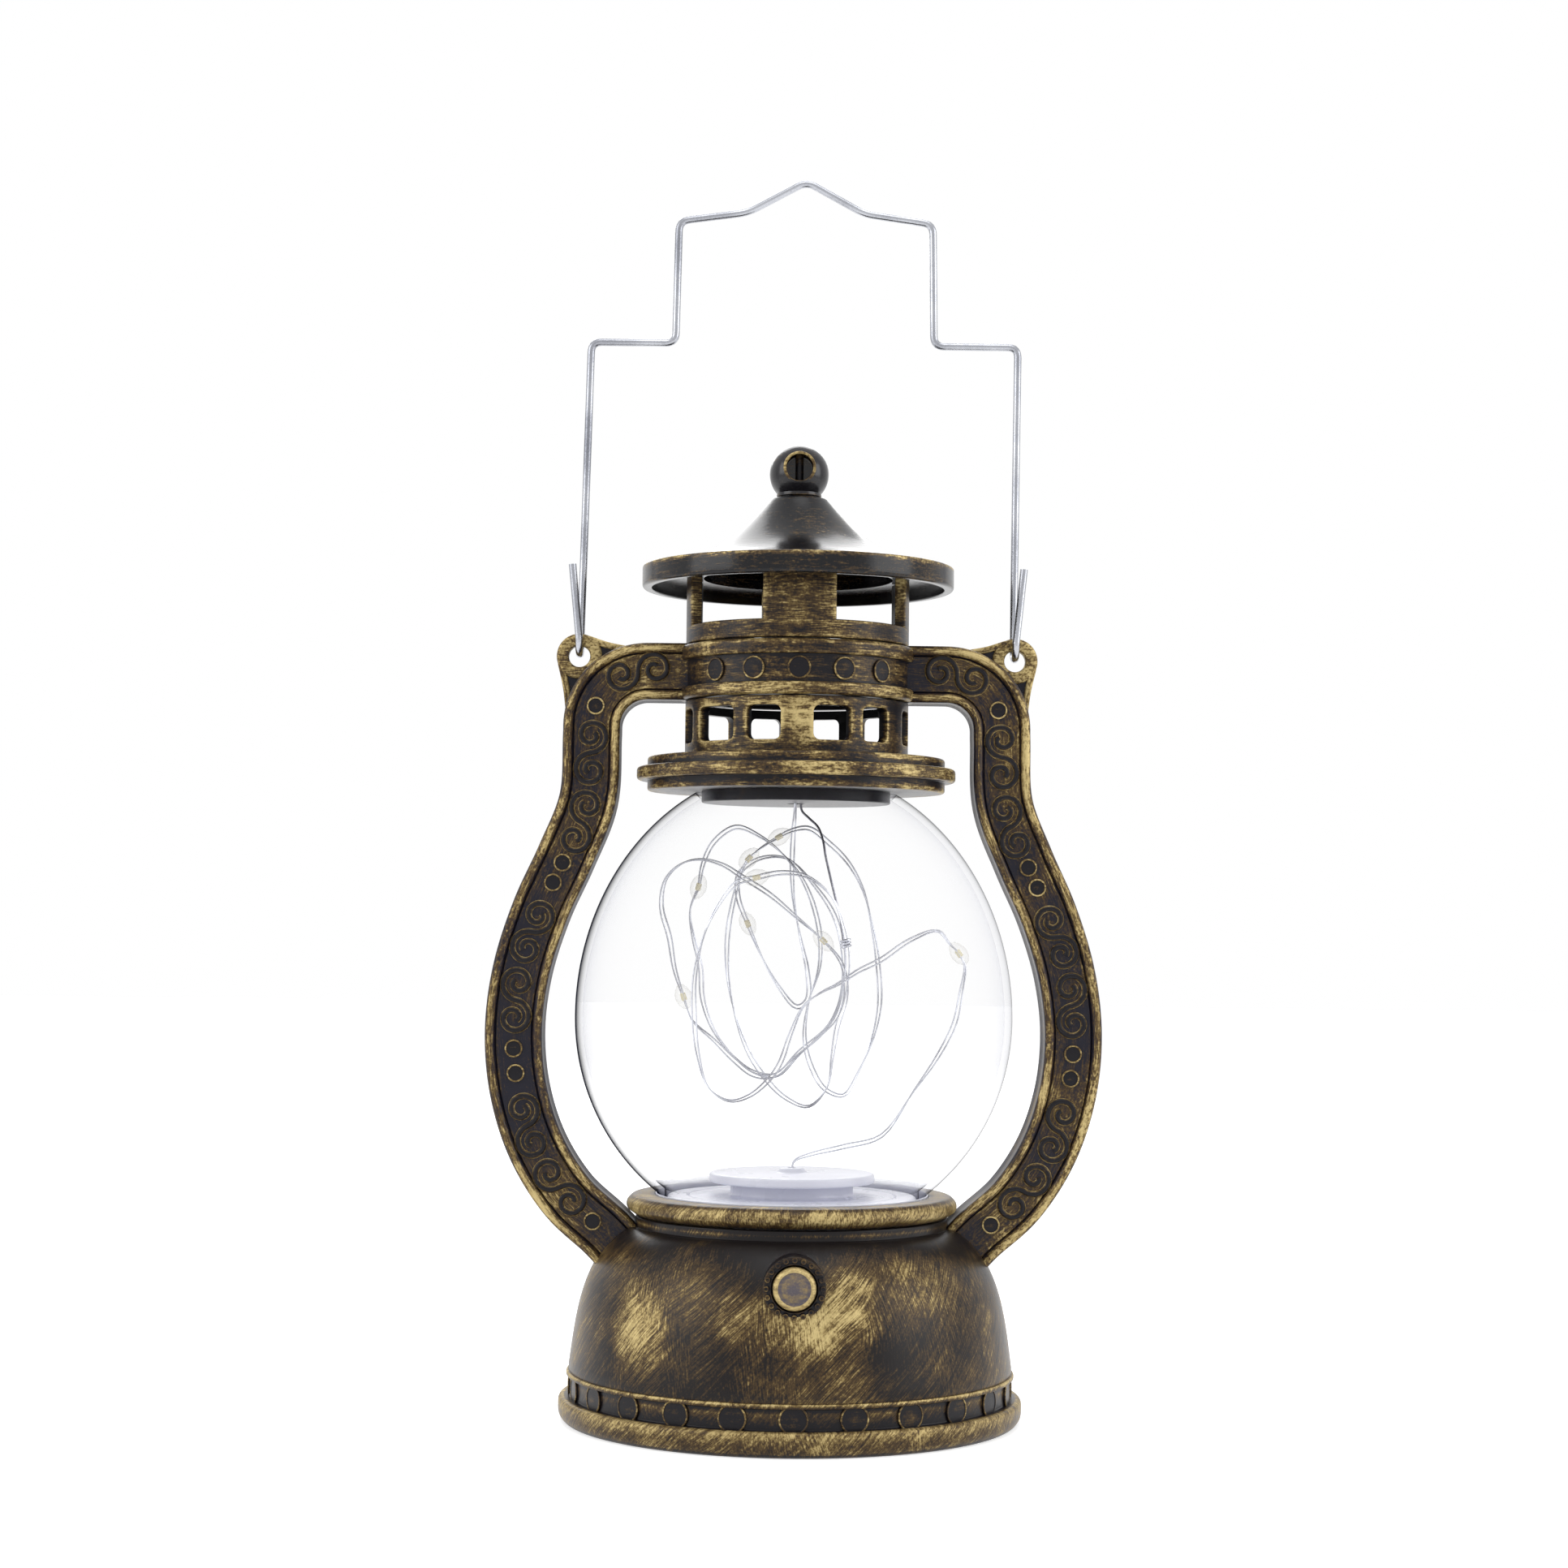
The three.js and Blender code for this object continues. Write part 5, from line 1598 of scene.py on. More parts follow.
    def button(self, ring: Tree) -> None:
        """Builds the button, its collar and the collar's beads.

        Args:
            ring: The tree that sets studs round a ring.
        """
        front = self.collar_front
        turn = facing_front(0, self.button_height)
        back, floor = front - self.collar_depth, front - self.pocket_depth
        collar = spun([
            Corner(self.stem_bore, back), Corner(self.collar_radius, back),
            Corner(self.collar_radius, front, 0.5, 0.3), Corner(self.groove_outer, front, 0.2, 0.2),
            Corner(self.groove, front - 0.25, 0.2, -1), Corner(self.pocket, front, 0.25, 0.2),
            Corner(self.pocket, floor), Corner(self.stem_bore, floor),
        ], 72).moved(turn).built("collar_ring", SCROLL_BRONZE)
        fitted(collar, "dark_bronze_plastic", "button_collar")
        fitted(studs_round(
            ring, "collar_beads", self.bead_size, self.bead_count, self.bead_ring,
            (0, -front, self.button_height), front=True,
        ), "dark_bronze_plastic")
        head, end = front + self.button_rise, front - self.stem_length
        button = spun([
            Corner(0, head + 0.3, 0, -1.4), Corner(1.2, head + 0.25, 0, -0.8),
            Corner(2.2, head, 0, -0.3), Corner(2.8, head - 0.25, 0.3, -1.0),
            Corner(3.3, head + 0.1, 0.35, 1), Corner(self.button_radius, head - 0.5, 0.3, 0.8),
            Corner(self.button_radius, head - self.skirt, 0.3),
            Corner(self.button_stem, head - self.skirt), Corner(self.button_stem, end, 0.2),
            Corner(0, end),
        ], 64, closed=False).moved(turn).built("button_head", BUTTON_GOLD)
        fitted(button, "gold_plastic", "push_button", body="button")

    def seat(self) -> None:
        """Builds the seat ring round the globe's neck."""
        bore, out, low, top = self.seat_bore, self.seat_radius, self.seat_bottom, self.seat_top
        ring = spun([
            Corner(bore, low), Corner(out - 1.7, low, 0.3, -0.8),
            Corner(out, low + 1.2, 0.6, 0.4), Corner(out, top - 1.2, 0.6, 0.6),
            Corner(out - 1.2, top, 0.5, -0.4), Corner(bore, top, 0.3, -1),
        ]).bare_inside(bore + 0.2).built("seat_ring", SEAT_GOLD)
        fitted(ring, "gold_plastic", "globe_seat_ring")


@dataclass
class Globe:
    """Clear globe on its neck, with the lamp disc in its foot and a pale band round the neck that
    stands in for light.
    """

    neck_radius: float = 26.4
    neck_bottom: float = 39.8
    belly_radius: float = 42.9
    belly_height: float = 78.186
    lower_half: float = 43.5
    upper_half: float = 49.5
    mouth_outer: float = 19.9
    mouth_inner: float = 18.9
    wall: float = 1.5
    # Where the neck's pale haze of painted light ends, and how far it fades.
    painted_light_top: float = 45.8
    painted_light_fade: float = 2.4
    wire_hole: float = 0.85
    disc_bottom: float = 39.6
    flange_radius: float = 24.4
    flange_top: float = 43.4
    groove: float = 20.3
    stem_radius: float = 12.0
    disc_under: float = 46.0
    disc_radius: float = 16.2
    disc_top: float = 47.8
    nub_foot: float = 3.0
    nub_tip: float = 2.2

    def arc(self, start: float, end: float, inset: float, up: bool) -> list[Corner]:
        """Points of a half ellipse between two radii.

        Args:
            start: The radius it starts at.
            end: The radius it ends at.
            inset: How far it lies inside the outer skin.
            up: Whether it is the upper half.

        Returns:
            The points.
        """
        wide = self.belly_radius - inset
        half = (self.upper_half if up else self.lower_half) - inset
        first, last = math.asin(start / wide), math.asin(end / wide)
        corners = []
        for i in range(33):
            angle = first + (last - first) * i / 32
            rise = half * math.cos(angle) * (1 if up else -1)
            height = self.belly_height + rise
            # The haze here is painted light: full at the neck and fading upwards.
            painted_light_haze = max(0.0, min(1.0, (self.painted_light_top - height) / self.painted_light_fade))
            inside = inset > 0 and painted_light_haze == 0
            corners.append(Corner(wide * math.sin(angle), height, 0, -1 if inside else painted_light_haze))
        return corners

    def glass(self) -> None:
        """Builds the globe."""
        belly, inner = self.belly_radius, self.belly_radius - self.wall
        bore = self.neck_radius - self.wall
        outline = rounded([
            Corner(bore, self.neck_bottom, 0.3, 1),
            Corner(self.neck_radius, self.neck_bottom, 0.3, 1),
            *self.arc(self.neck_radius, belly, 0, False),
            *self.arc(belly, self.mouth_outer, 0, True)[1:],
            *self.arc(self.mouth_inner, inner, self.wall, True),
            *self.arc(inner, bore, self.wall, False)[1:],
        ])
        fitted(lathed(outline).built("globe_glass", GLOBE_CLEAR), "clear_plastic", "globe")

    def disc(self) -> None:
        """Builds the lamp disc on its flange, with its nub, and the pale band of painted light
        round the globe's neck.
        """
        hole, low, step, top = self.wire_hole, self.disc_bottom, self.flange_top, self.disc_top
        disc = spun([
            Corner(hole, low), Corner(self.flange_radius, low, 0.2),
            Corner(self.flange_radius, step, 0.8), Corner(self.groove + 0.3, step),
            Corner(self.groove, step - 0.3), Corner(self.groove - 0.3, step),
            Corner(self.stem_radius, step, 0.8),
            Corner(self.stem_radius, self.disc_under, 0.3),
            Corner(self.disc_radius, self.disc_under, 0.5), Corner(self.disc_radius, top, 0.6),
            Corner(self.nub_foot, top, 0.4), Corner(self.nub_tip, top + 1, 0.5),
            Corner(hole, top + 1, 0.3),
        ], 96).built("lamp_disc_top", LAMP_WHITE)
        fitted(disc, "white_plastic", "lamp_disc")
        # Painted light: a pale band between the neck and the seat ring's bore stands in for the
        # light seen in the clear neck, where the bore shows dark.
        inner, outer = self.neck_radius + 0.03, self.neck_radius + 0.28
        low, top = self.neck_bottom + 0.2, self.neck_bottom + 4
        neck_light_band = spun([
            Corner(inner, low), Corner(outer, low), Corner(outer, top, 0.1),
            Corner(inner, top, 0.1),
        ]).built("globe_gasket", LAMP_WHITE)
        fitted(neck_light_band, "white_plastic")


STRING_ROUTE: tuple[Place, ...] = (
    (0, 0, 33), (0, 0, 39.5), (0, 0, 48.3), (0.4, 0, 50), (3.4, -1, 51.4), (10, -3.5, 53.2),
    (17.3, -5, 55.5), (23.4, -5.8, 64.2), (27.8, -6.5, 70.7), (31.1, -7.2, 77.3),
    (32.4, -8, 84), (33, -8.2, 88.6), (31.8, -8.4, 91.1), (30, -8.6, 92.9), (27.7, -8.8, 95.4),
    (22.4, -9, 93.6), (16.7, -9.2, 89.7), (12.3, -9.4, 87.5), (8.5, -9.6, 85), (4.8, -9.8, 83.1),
    (1.8, -10, 80.7), (-0.7, -9.8, 75.2), (-2.7, -9.6, 69.5), (-4.9, -9.5, 66.3),
    (-8.4, -9.3, 63.3), (-12.4, -9.1, 62.2), (-16.4, -9, 64.6), (-18.6, -8.8, 71.2),
    (-19.4, -8.5, 78.3), (-19.4, -8.2, 85.8), (-18.1, -8, 92.8), (-15.3, -7.8, 99.5),
    (-11.6, -7.5, 104.2), (-7.6, -7.4, 105.4), (-2.7, -7.2, 106.4), (2.2, -7.1, 105.7),
    (7, -6.9, 101.9), (9.5, -6.6, 95.9), (10.3, -6.4, 89.7), (9.8, -6.2, 83.9), (8.1, -6, 78.2),
    (4.4, -5.8, 74.2), (0.4, -5.6, 70.6), (-3.6, -5.5, 67), (-7.6, -5.3, 67), (-11.4, -5.2, 69.7),
    (-15.6, -5, 73.7), (-19.8, -4.8, 77.5), (-21.6, -4.6, 82.1), (-23.4, -4.4, 87.5),
    (-24.5, -4.2, 93.7), (-26.1, -4, 99.5), (-25.4, -3.8, 104.8), (-22.5, -3.7, 107.9),
    (-18.8, -3.5, 108.9), (-14.3, -3.4, 107.9), (-10.3, -3.2, 105.5), (-5, -3, 102.2),
    (0.4, -2.8, 97.7), (5.7, -2.5, 93.2), (9.3, -2.3, 88.8), (10.2, -2.1, 83), (8.5, -1.9, 76.3),
    (7.6, -1.7, 70.4), (6.7, -1.5, 64.6), (3.1, -1.3, 60.8), (-1.4, -1.2, 62.4),
    (-5.4, -1, 66.2), (-9, -0.7, 71.7), (-11.7, -0.5, 79.3), (-13.1, -0.2, 87), (-13.1, 0, 94.6),
    (-11.9, 0.3, 101.7), (-10.4, 0.5, 107.1), (-9.1, 0.6, 109.3), (-6.3, 0.7, 111.7),
    (-3.2, 0.8, 113.6), (-1, 0.9, 114.8), (2.6, 1, 115.4), (6.4, 1.2, 112.7), (10.5, 1.4, 108.7),
    (13.6, 1.6, 103.1), (15.4, 1.8, 95.9), (16.6, 2.1, 88.7), (17, 2.4, 80.6), (15.5, 2.6, 73.4),
    (13, 2.8, 67.5), (10.1, 3, 62.8), (6.5, 3.1, 63.9), (3.8, 3.3, 68), (2.3, 3.5, 73.8),
    (2.9, 3.7, 80.6), (5.1, 4, 88.2), (4.9, 4.3, 95.9), (2, 4.6, 104.5), (-2.5, 4.8, 110.4),
    (-7.3, 5, 114), (-11.8, 5.2, 115.6), (-16.1, 5.3, 112.6), (-18.2, 5.5, 108.3),
    (-19.1, 5.7, 103.6), (-20.7, 5.8, 99.1), (-20, 6, 93.6), (-18.5, 6.2, 87.8),
    (-18, 6.4, 81.4), (-15.7, 6.7, 75.1), (-12.1, 6.8, 70.5), (-7.8, 7, 67.1), (-3.2, 7.2, 66.4),
    (1.3, 7.4, 70.9), (7.2, 7.7, 76.4), (9.7, 7.9, 83.6), (9.9, 8.2, 90.9), (8.1, 8.4, 98.2),
    (3.8, 8.7, 104.5), (-1.4, 8.9, 109.5), (-6.9, 9.1, 109.5), (-11, 9.3, 106.4),
    (-11.2, 9.4, 101.8), (-9.2, 9.6, 96.4), (-6.4, 9.8, 90), (-3, 10.1, 84.1), (0.8, 10.3, 79.9),
    (2.9, 10.3, 81.3), (2.9, 10.5, 86.8), (1.3, 10.8, 94.1), (0, 11, 100.9), (-0.4, 11.5, 106.5),
    (-0.4, 10.8, 110.2), (-0.3, 6.5, 114.8), (-0.1, 0.9, 118.94), (-0.1, 0, 122.14),
)


@dataclass
class FairyString:
    """Pair of fine strands with lamps in clear drops, and the wire that ties it to the cap."""

    width: float = 1.1
    strand: float = 0.17
    spread: float = 0.38
    twist_length: float = 62
    ring_step: float = 0.45
    drop: tuple[tuple[float, ...], ...] = (
        (0, -2.6), (0.7, -2.35), (1.35, -1.5), (1.68, -0.3), (1.6, 0.6), (1.2, 1.6), (0.65, 2.3),
        (0, 2.6),
    )
    chip: tuple[tuple[float, ...], ...] = ((0, -0.8), (0.55, -0.8, 0.2), (0.55, 0.7, 0.2), (0, 0.8))
    tie_radius: float = 0.24
    knot_radius: float = 0.88
    cap_under: float = 120.14
    stations: tuple[int, ...] = (12, 33, 48, 59, 74, 76, 100, 119)
    tie_hang: tuple[Place, ...] = (
        (2.6, 0.6, 2.8), (4.4, 1.5, 4.6), (5.4, 2.7, 7.4), (5.9, 3.6, 10.4), (7.8, 5.0, 18.4),
        (8.9, 5.2, 22.6), (9.5, 5.1, 27.2),
    )
    tied_at: tuple[Vector, Vector] = (Vector((9.5, -6.6, 95.9)), Vector((10.3, -6.4, 89.7)))

    def string(self, pair: Tree, row: Tree) -> None:
        """Args:
            pair: The tree of two strands.
            row: The tree that sets pieces along a wire.
        """
        route = [Vector(spot) for spot in STRING_ROUTE]
        path = smooth_through(route, 5)
        line = curve_of("string_path", path)
        strands = pair.grown(
            "string_strands", Path=line, Step=self.ring_step * MM,
            Radius=self.strand * MM, Spread=self.spread * MM,
            Twist=math.tau / (self.twist_length * MM), Sides=8, Finish=material_of(STRING_SILVER),
        )
        runs = [0.0]
        for a, b in zip(path, path[1:]):
            runs.append(runs[-1] + (b - a).length)
        places = [(runs[5 * station], 0, 0, 1) for station in self.stations]
        drop = spun([Corner(*spot) for spot in self.drop], 20, closed=False)
        drop = drop.built("drop", DROP_CLEAR)
        chip = spun([Corner(*spot) for spot in self.chip], 12, closed=False)
        chip = chip.built("chip", CHIP_WARM)
        kinds = (("string_drops", drop, DROP_CLEAR), ("lamp_chips", chip, CHIP_WARM))
        pieces = [
            row.grown(
                name, points=row_points(name, places), Path=line, First=one, Second=one,
                Lift=0.0, Finish=material_of(finish),
            )
            for name, one, finish in kinds
        ]
        dropped(line, drop, chip)
        lamps = [f"led_{i + 1}" for i in range(len(self.stations))]
        fitted(strands, "silver_wire", "fairy_wire")
        fitted(pieces[0], "lamp_drop", *lamps)
        fitted(pieces[1], "lamp_drop")
        route[0] * MM
        runs[-1] * MM
        [spot * MM for spot in path]
        log.info("fairy string: %.0f mm", runs[-1])

    def tie(self, single: Tree) -> None:
        """Args:
            single: The tree of a single strand.
        """
        top = self.cap_under
        hang = [Vector((out, -front, top - down)) for out, front, down in self.tie_hang]
        path = smooth_through([Vector((1.15, 0, top + 2)), Vector((1.15, 0, top - 1.2)), *hang], 6)
        before, after = self.tied_at
        along = (after - before).normalized()
        side = along.cross(Vector((0, 1, 0))).normalized()
        other = along.cross(side)
        turns, steps, wide = 2.5, 40, self.knot_radius
        wound = []
        for i in range(steps + 1):
            angle = math.tau * turns * i / steps
            spot = before.lerp(after, 0.5) + along * (i / steps - 0.5) * turns * 0.6
            wound.append(spot + side * wide * math.cos(angle) + other * wide * math.sin(angle))
        kinds = (("tie_strand", path, TIE_GREY), ("tie_knot", wound, STRING_SILVER))
        strand, knot = (wire_of(single, name, points, finish, self.tie_radius, 0.3, 8)
                        for name, points, finish in kinds)
        length = sum((b - a).length for a, b in zip(path, path[1:]))
        fitted(strand, "silver_wire", "tie_wire")
        fitted(knot, "silver_wire")
        path[0] * MM
        [spot * MM for spot in path]
        log.info("tie wire: %.1f mm", length)


@dataclass
class Chimney:
    """Globe cap, vent gallery, collar band, drum with its posts, roof and finial."""

    radius: float = 22.0
    bore: float = 19.9
    cap_bottom: float = 122.34
    plug_radius: float = 18.6
    step_radius: float = 29.3
    disc_radius: float = 31.4
    gallery_bottom: float = 129.34
    gallery_top: float = 139.89
    window_height: float = 6.6
    window_corner: float = 1.3
    window_sill: float = 2.25
    windows: tuple[tuple[float, float], ...] = (
        (-162.5, 6.9), (-129, 9.6), (-102.5, 6.9), (-77.5, 6.9), (-47.2, 9.6), (-17.9, 6.8),
        (17.4, 7.6), (43.2, 6.7), (77.5, 6.9), (102.5, 6.9), (130.5, 7.0), (162.5, 6.9),
    )
    collar_bottom: float = 140.19
    collar_top: float = 150.84
    bead_radius: float = 23.2
    lower_bead: float = 2.4
    upper_bead: float = 2.85
    drum_bottom: float = 151.14
    drum_top: float = 154.69
    post_top: float = 164.3
    post_half: float = 19.0
    post_ring: float = 160.8
    roof_radius: float = 30.8
    roof_ceiling: float = 164.49
    brim_bottom: float = 162.39
    brim_top: float = 166.69
    cone_height: float = 13.9
    cone_sweep: float = 2.25
    cone_top: float = 5.5
    finial_centre: float = 185.5
    finial_radius: float = 5.85
    recess_radius: float = 2.85
    recess_lift: float = 0.7
    wire_bore: float = 1.75
    plug_bore: float = 16.6
    lip_radius: float = 28.9
    roof_wall: float = 2.6
    bolt_bore: float = 2.3
    ceiling_radius: float = 18.7
    finial_foot: float = 4.5
    finial_stem: float = 2.0
    recess_floor: float = 1.5
    trim_radius: float = 0.3
    bar_radius: float = 0.8
    bar_depth: float = 1.9
    boss_size: tuple[float, float] = (2.25, 0.45)

    def cap(self) -> None:
        """Builds the globe cap with its plug."""
        bottom, step = self.cap_bottom, self.step_radius
        cap = spun([
            Corner(self.wire_bore, bottom - 2.2), Corner(self.plug_radius, bottom - 2.2, 0.4),
            Corner(self.plug_radius, bottom), Corner(step, bottom, 0.6),
            Corner(step, bottom + 2.1, 0.25), Corner(self.disc_radius, bottom + 2.1, 0.8),
            Corner(self.disc_radius, bottom + 4.7, 0.8), Corner(step, bottom + 4.7, 0.25),
            Corner(step, bottom + 6.7, 0.7), Corner(self.bore, bottom + 6.7),
            Corner(self.bore, bottom + 2.1), Corner(self.plug_bore, bottom + 2.1),
            Corner(self.plug_bore, bottom - 0.2), Corner(self.wire_bore, bottom - 0.2),
        ]).bare_inside(self.bore + 0.1).built("cap_disc", RING_BRONZE)
        fitted(cap, "bronze_plastic", "globe_cap")

    @staticmethod
    def window(
        half_wide: float, half_high: float, corner: float,
    ) -> list[tuple[float, float]]:
        """A rounded window's outline of 48 points, 12 from each corner to the next.

        Args:
            half_wide: Half its width.
            half_high: Half its height.
            corner: The radius of its corners.

        Returns:
            The outline's points, from its middle.
        """
        def rim(centre: tuple[float, float], angle: float) -> tuple[float, float]:
            """A point of a corner's rounding, at an angle in degrees."""
            turn = math.radians(angle)
            return centre[0] + corner * math.cos(turn), centre[1] + corner * math.sin(turn)

        points: list[tuple[float, float]] = []
        wide, high = half_wide - corner, half_high - corner
        turns = ((1, -1, -90), (1, 1, 0), (-1, 1, 90), (-1, -1, 180))
        for (sx, sz, start), (nx, nz, following) in zip(turns, turns[1:] + turns[:1]):
            after = (nx * wide, nz * high)
            points += [rim((sx * wide, sz * high), start + 45 + 15 * step) for step in range(4)]
            last, goal = points[-1], rim(after, following)
            points += [between(last, goal, step / 6) for step in range(1, 6)]
            points += [rim(after, following + 15 * step) for step in range(3)]
        return points

    def gallery(self) -> None:
        """Builds the vent gallery, a wall whose windows have rounded rims."""
        solid = Solid()
        middle = self.gallery_bottom + self.window_sill + self.window_height / 2
        angles = [angle for angle, _ in self.windows]
        arc = math.radians(1) * self.radius
        for i, (angle, width) in enumerate(self.windows):
            before = angles[i - 1] - (360 if i == 0 else 0)
            after = angles[(i + 1) % len(angles)] + (360 if i == len(angles) - 1 else 0)
            left = (before - angle) / 2 * arc
            right = (after - angle) / 2 * arc
            low, high = self.gallery_bottom - middle, self.gallery_top - middle
            corners = [(right, low), (right, high), (left, high), (left, low)]
            edges = [
                between(a, b, step / 12)
                for a, b in zip(corners, corners[1:] + corners[:1]) for step in range(12)
            ]
            w, h, r = width / 2, self.window_height / 2, self.window_corner
            # How much wider and rounder the window is at each depth, and its gold.
            rims = (
                (0.1, 0, self.bore, 0), (0, 0, self.bore + 0.1, 0), (0, 0, self.radius - 0.3, 0.6),
                (0.08, 0, self.radius - 0.08, 1), (0.3, 0.3, self.radius, 0.9),
                (1, 0.8, self.radius, 0),
            )
            skins = [
                (edges, self.bore, 0),
                *((self.window(w + wider, h + wider, r + rounder), depth, shine)
                  for wider, rounder, depth, shine in rims),
                (edges, self.radius, 0),
            ]
            rows = [
                [solid.point(radial(angle + x / arc, depth, middle + z), shine) for x, z in line]
                for line, depth, shine in skins
            ]
            solid.rows(rows, False, True)
            outer, inner = rows[-1], rows[0]
            # The wall's upper and lower edge; the other two sides meet the next windows.
            for start in (12, 36):
                for j in range(start, start + 12):
                    k = (j + 1) % 48
                    solid.faces.append((outer[j], outer[k], inner[k], inner[j]))
        wall = solid.bare_inside(self.radius - 0.5).built("gallery_wall", GALLERY_BRONZE)
        fitted(wall, "bronze_plastic", "vent_gallery")

    def collar(self, ring: Tree) -> None:
        """Builds the collar band with its beads and bosses.

        Args:
            ring: The tree that sets studs round a ring.
        """
        bottom, top, bead = self.collar_bottom, self.collar_top, self.bead_radius
        band = spun([
            Corner(self.bore, bottom), Corner(bead, bottom, 0.8),
            Corner(bead, bottom + self.lower_bead, 0.8),
            Corner(self.radius, bottom + self.lower_bead, 0.25),
            Corner(self.radius, top - self.upper_bead, 0.25),
            Corner(bead, top - self.upper_bead, 0.8), Corner(bead, top, 0.8),
            Corner(self.bore, top),
        ]).bare_inside(self.bore + 0.1).built("collar_wall", RING_BRONZE)
        fitted(band, "bronze_plastic", "collar_band")
        middle = (bottom + self.lower_bead + top - self.upper_bead) / 2
        for name, first in (("front_bosses", -46), ("back_bosses", 134)):
            fitted(studs_round(
                ring, name, self.boss_size, 5, self.radius, (0, 0, middle), first, 23,
            ), "bronze_plastic")

    def posts(self) -> None:
        """Builds the low drum and its four wide posts."""
        drum = spun([
            Corner(self.bore, self.drum_bottom), Corner(self.radius, self.drum_bottom, 0.3),
            Corner(self.radius, self.drum_top, 0.4), Corner(self.bore, self.drum_top, 0.2),
        ])
        arc = math.radians(1) * self.radius
        half = self.post_half * arc
        side = rounded([
            Corner(-half, self.bore, 0.3), Corner(half, self.bore, 0.3),
            Corner(half, self.radius, 0.5), Corner(-half, self.radius, 0.5),
        ])
        fine = Outline()
        pairs = list(zip(side.points, side.shines))
        for (a, shine), (b, _) in zip(pairs, pairs[1:] + pairs[:1]):
            parts = max(1, round(math.dist(a, b) / 1.2))
            for i in range(parts):
                fine.add(*between(a, b, i / parts), shine if i == 0 else 0)
        low, top = self.drum_top - 0.3, self.post_top
        heights = (low, self.drum_top + 3, self.post_ring, top)
        for middle in (0, 90, 180, 270):
            post = Solid()
            rows = [
                [post.point(radial(middle + x / arc, depth, height), shine)
                 for (x, depth), shine in zip(fine.points, fine.shines)]
                for height in heights
            ]
            post.rows(rows, False, True)
            post.capped(rows)
            drum.with_solid(post)
        drum.bare_inside(self.bore + 0.1)
        fitted(drum.built("post_drum", RING_BRONZE), "bronze_plastic", "upper_chimney")

    def cone(self, share: float) -> tuple[float, float]:
        """A point of the roof's upper side, 1 at the brim and 0 at the top."""
        radius = self.cone_top + share * (self.roof_radius - self.cone_top)
        return radius, self.brim_top + self.cone_height * (1 - share) ** self.cone_sweep

    def roof(self) -> None:
        """Builds the roof."""
        steps = 36
        upper = [Corner(*self.cone(0.965 * (1 - i / steps)), 0, 0) for i in range(steps)]
        lower = []
        for share in (0.1, 0.17, 0.24, 0.33, 0.42):
            radius, height = self.cone(share)
            lower.append(Corner(radius, height - self.roof_wall))
        top = self.brim_top + self.cone_height
        roof = spun([
            Corner(self.lip_radius, self.brim_bottom, 0.3, -1),
            Corner(self.roof_radius, self.brim_bottom, 0.8, 0.1),
            Corner(self.roof_radius, self.brim_top, 1.0, 1.0), *upper,
            Corner(self.cone_top, top, 0.4, 0.2), Corner(self.bolt_bore, top),
            Corner(self.bolt_bore, top - 2.3),
            *lower, Corner(self.ceiling_radius, self.brim_top),
            Corner(self.ceiling_radius, self.roof_ceiling),
            Corner(self.lip_radius, self.roof_ceiling),
        ]).built("roof_cone", ROOF_BRONZE)
        fitted(roof, "dark_bronze_plastic", "roof")

    def finial(self) -> None:
        """Builds the finial ball with its ringed recesses and their bars."""
        centre, ball, hole = self.finial_centre, self.finial_radius, self.recess_radius
        start = math.asin(self.finial_foot * 0.8 / ball)
        steps = 40
        round_part = []
        for i in range(steps + 1):
            angle = start + (math.pi - start) * i / steps
            round_part.append(Corner(ball * math.sin(angle), centre - ball * math.cos(angle)))
        bottom, stem = self.brim_top + self.cone_height + 0.3, self.finial_stem
        body = spun([
            Corner(0, bottom - stem), Corner(stem, bottom - stem), Corner(stem, bottom),
            Corner(self.finial_foot, bottom, 0.3), *round_part[3:-1], Corner(0, centre + ball),
        ], 72, closed=False).built("finial_ball", FINIAL_BLACK)
        ring_height = centre + self.recess_lift
        turn = facing_front(0, ring_height)
        cutters = [
            spun([
                Corner(0, side * self.recess_floor, 0, -1),
                Corner(hole, side * self.recess_floor, 0.5, -1),
                Corner(hole, side * 9, 0, -1), Corner(0, side * 9, 0, -1),
            ], 48, closed=False).moved(turn).built("recess", FINIAL_BLACK)
            for side in (-1, 1)
        ]
        fitted(cut_by(body, cutters), "dark_bronze_plastic", "finial")
        rim = math.sqrt(ball ** 2 - (hole + 0.1) ** 2 - self.recess_lift ** 2)
        trim, thick = Solid(), self.trim_radius
        for side in (-1, 1):
            loop = Outline()
            for i in range(12):
                angle = math.tau * i / 12
                out, along = thick * math.cos(angle), thick * math.sin(angle)
                loop.add(hole + 0.08 + out, side * rim + along, 1)
            trim.with_solid(lathed(loop, 48).moved(turn))
            bar = spun(oblong(0, -hole - 0.2, self.bar_radius, hole + 0.2), 20, closed=False)
            place = Matrix.Translation((0, side * self.bar_depth, ring_height))
            trim.with_solid(bar.moved(place))
        fitted(trim.built("finial_trim", STUD_BRONZE), "dark_bronze_plastic")


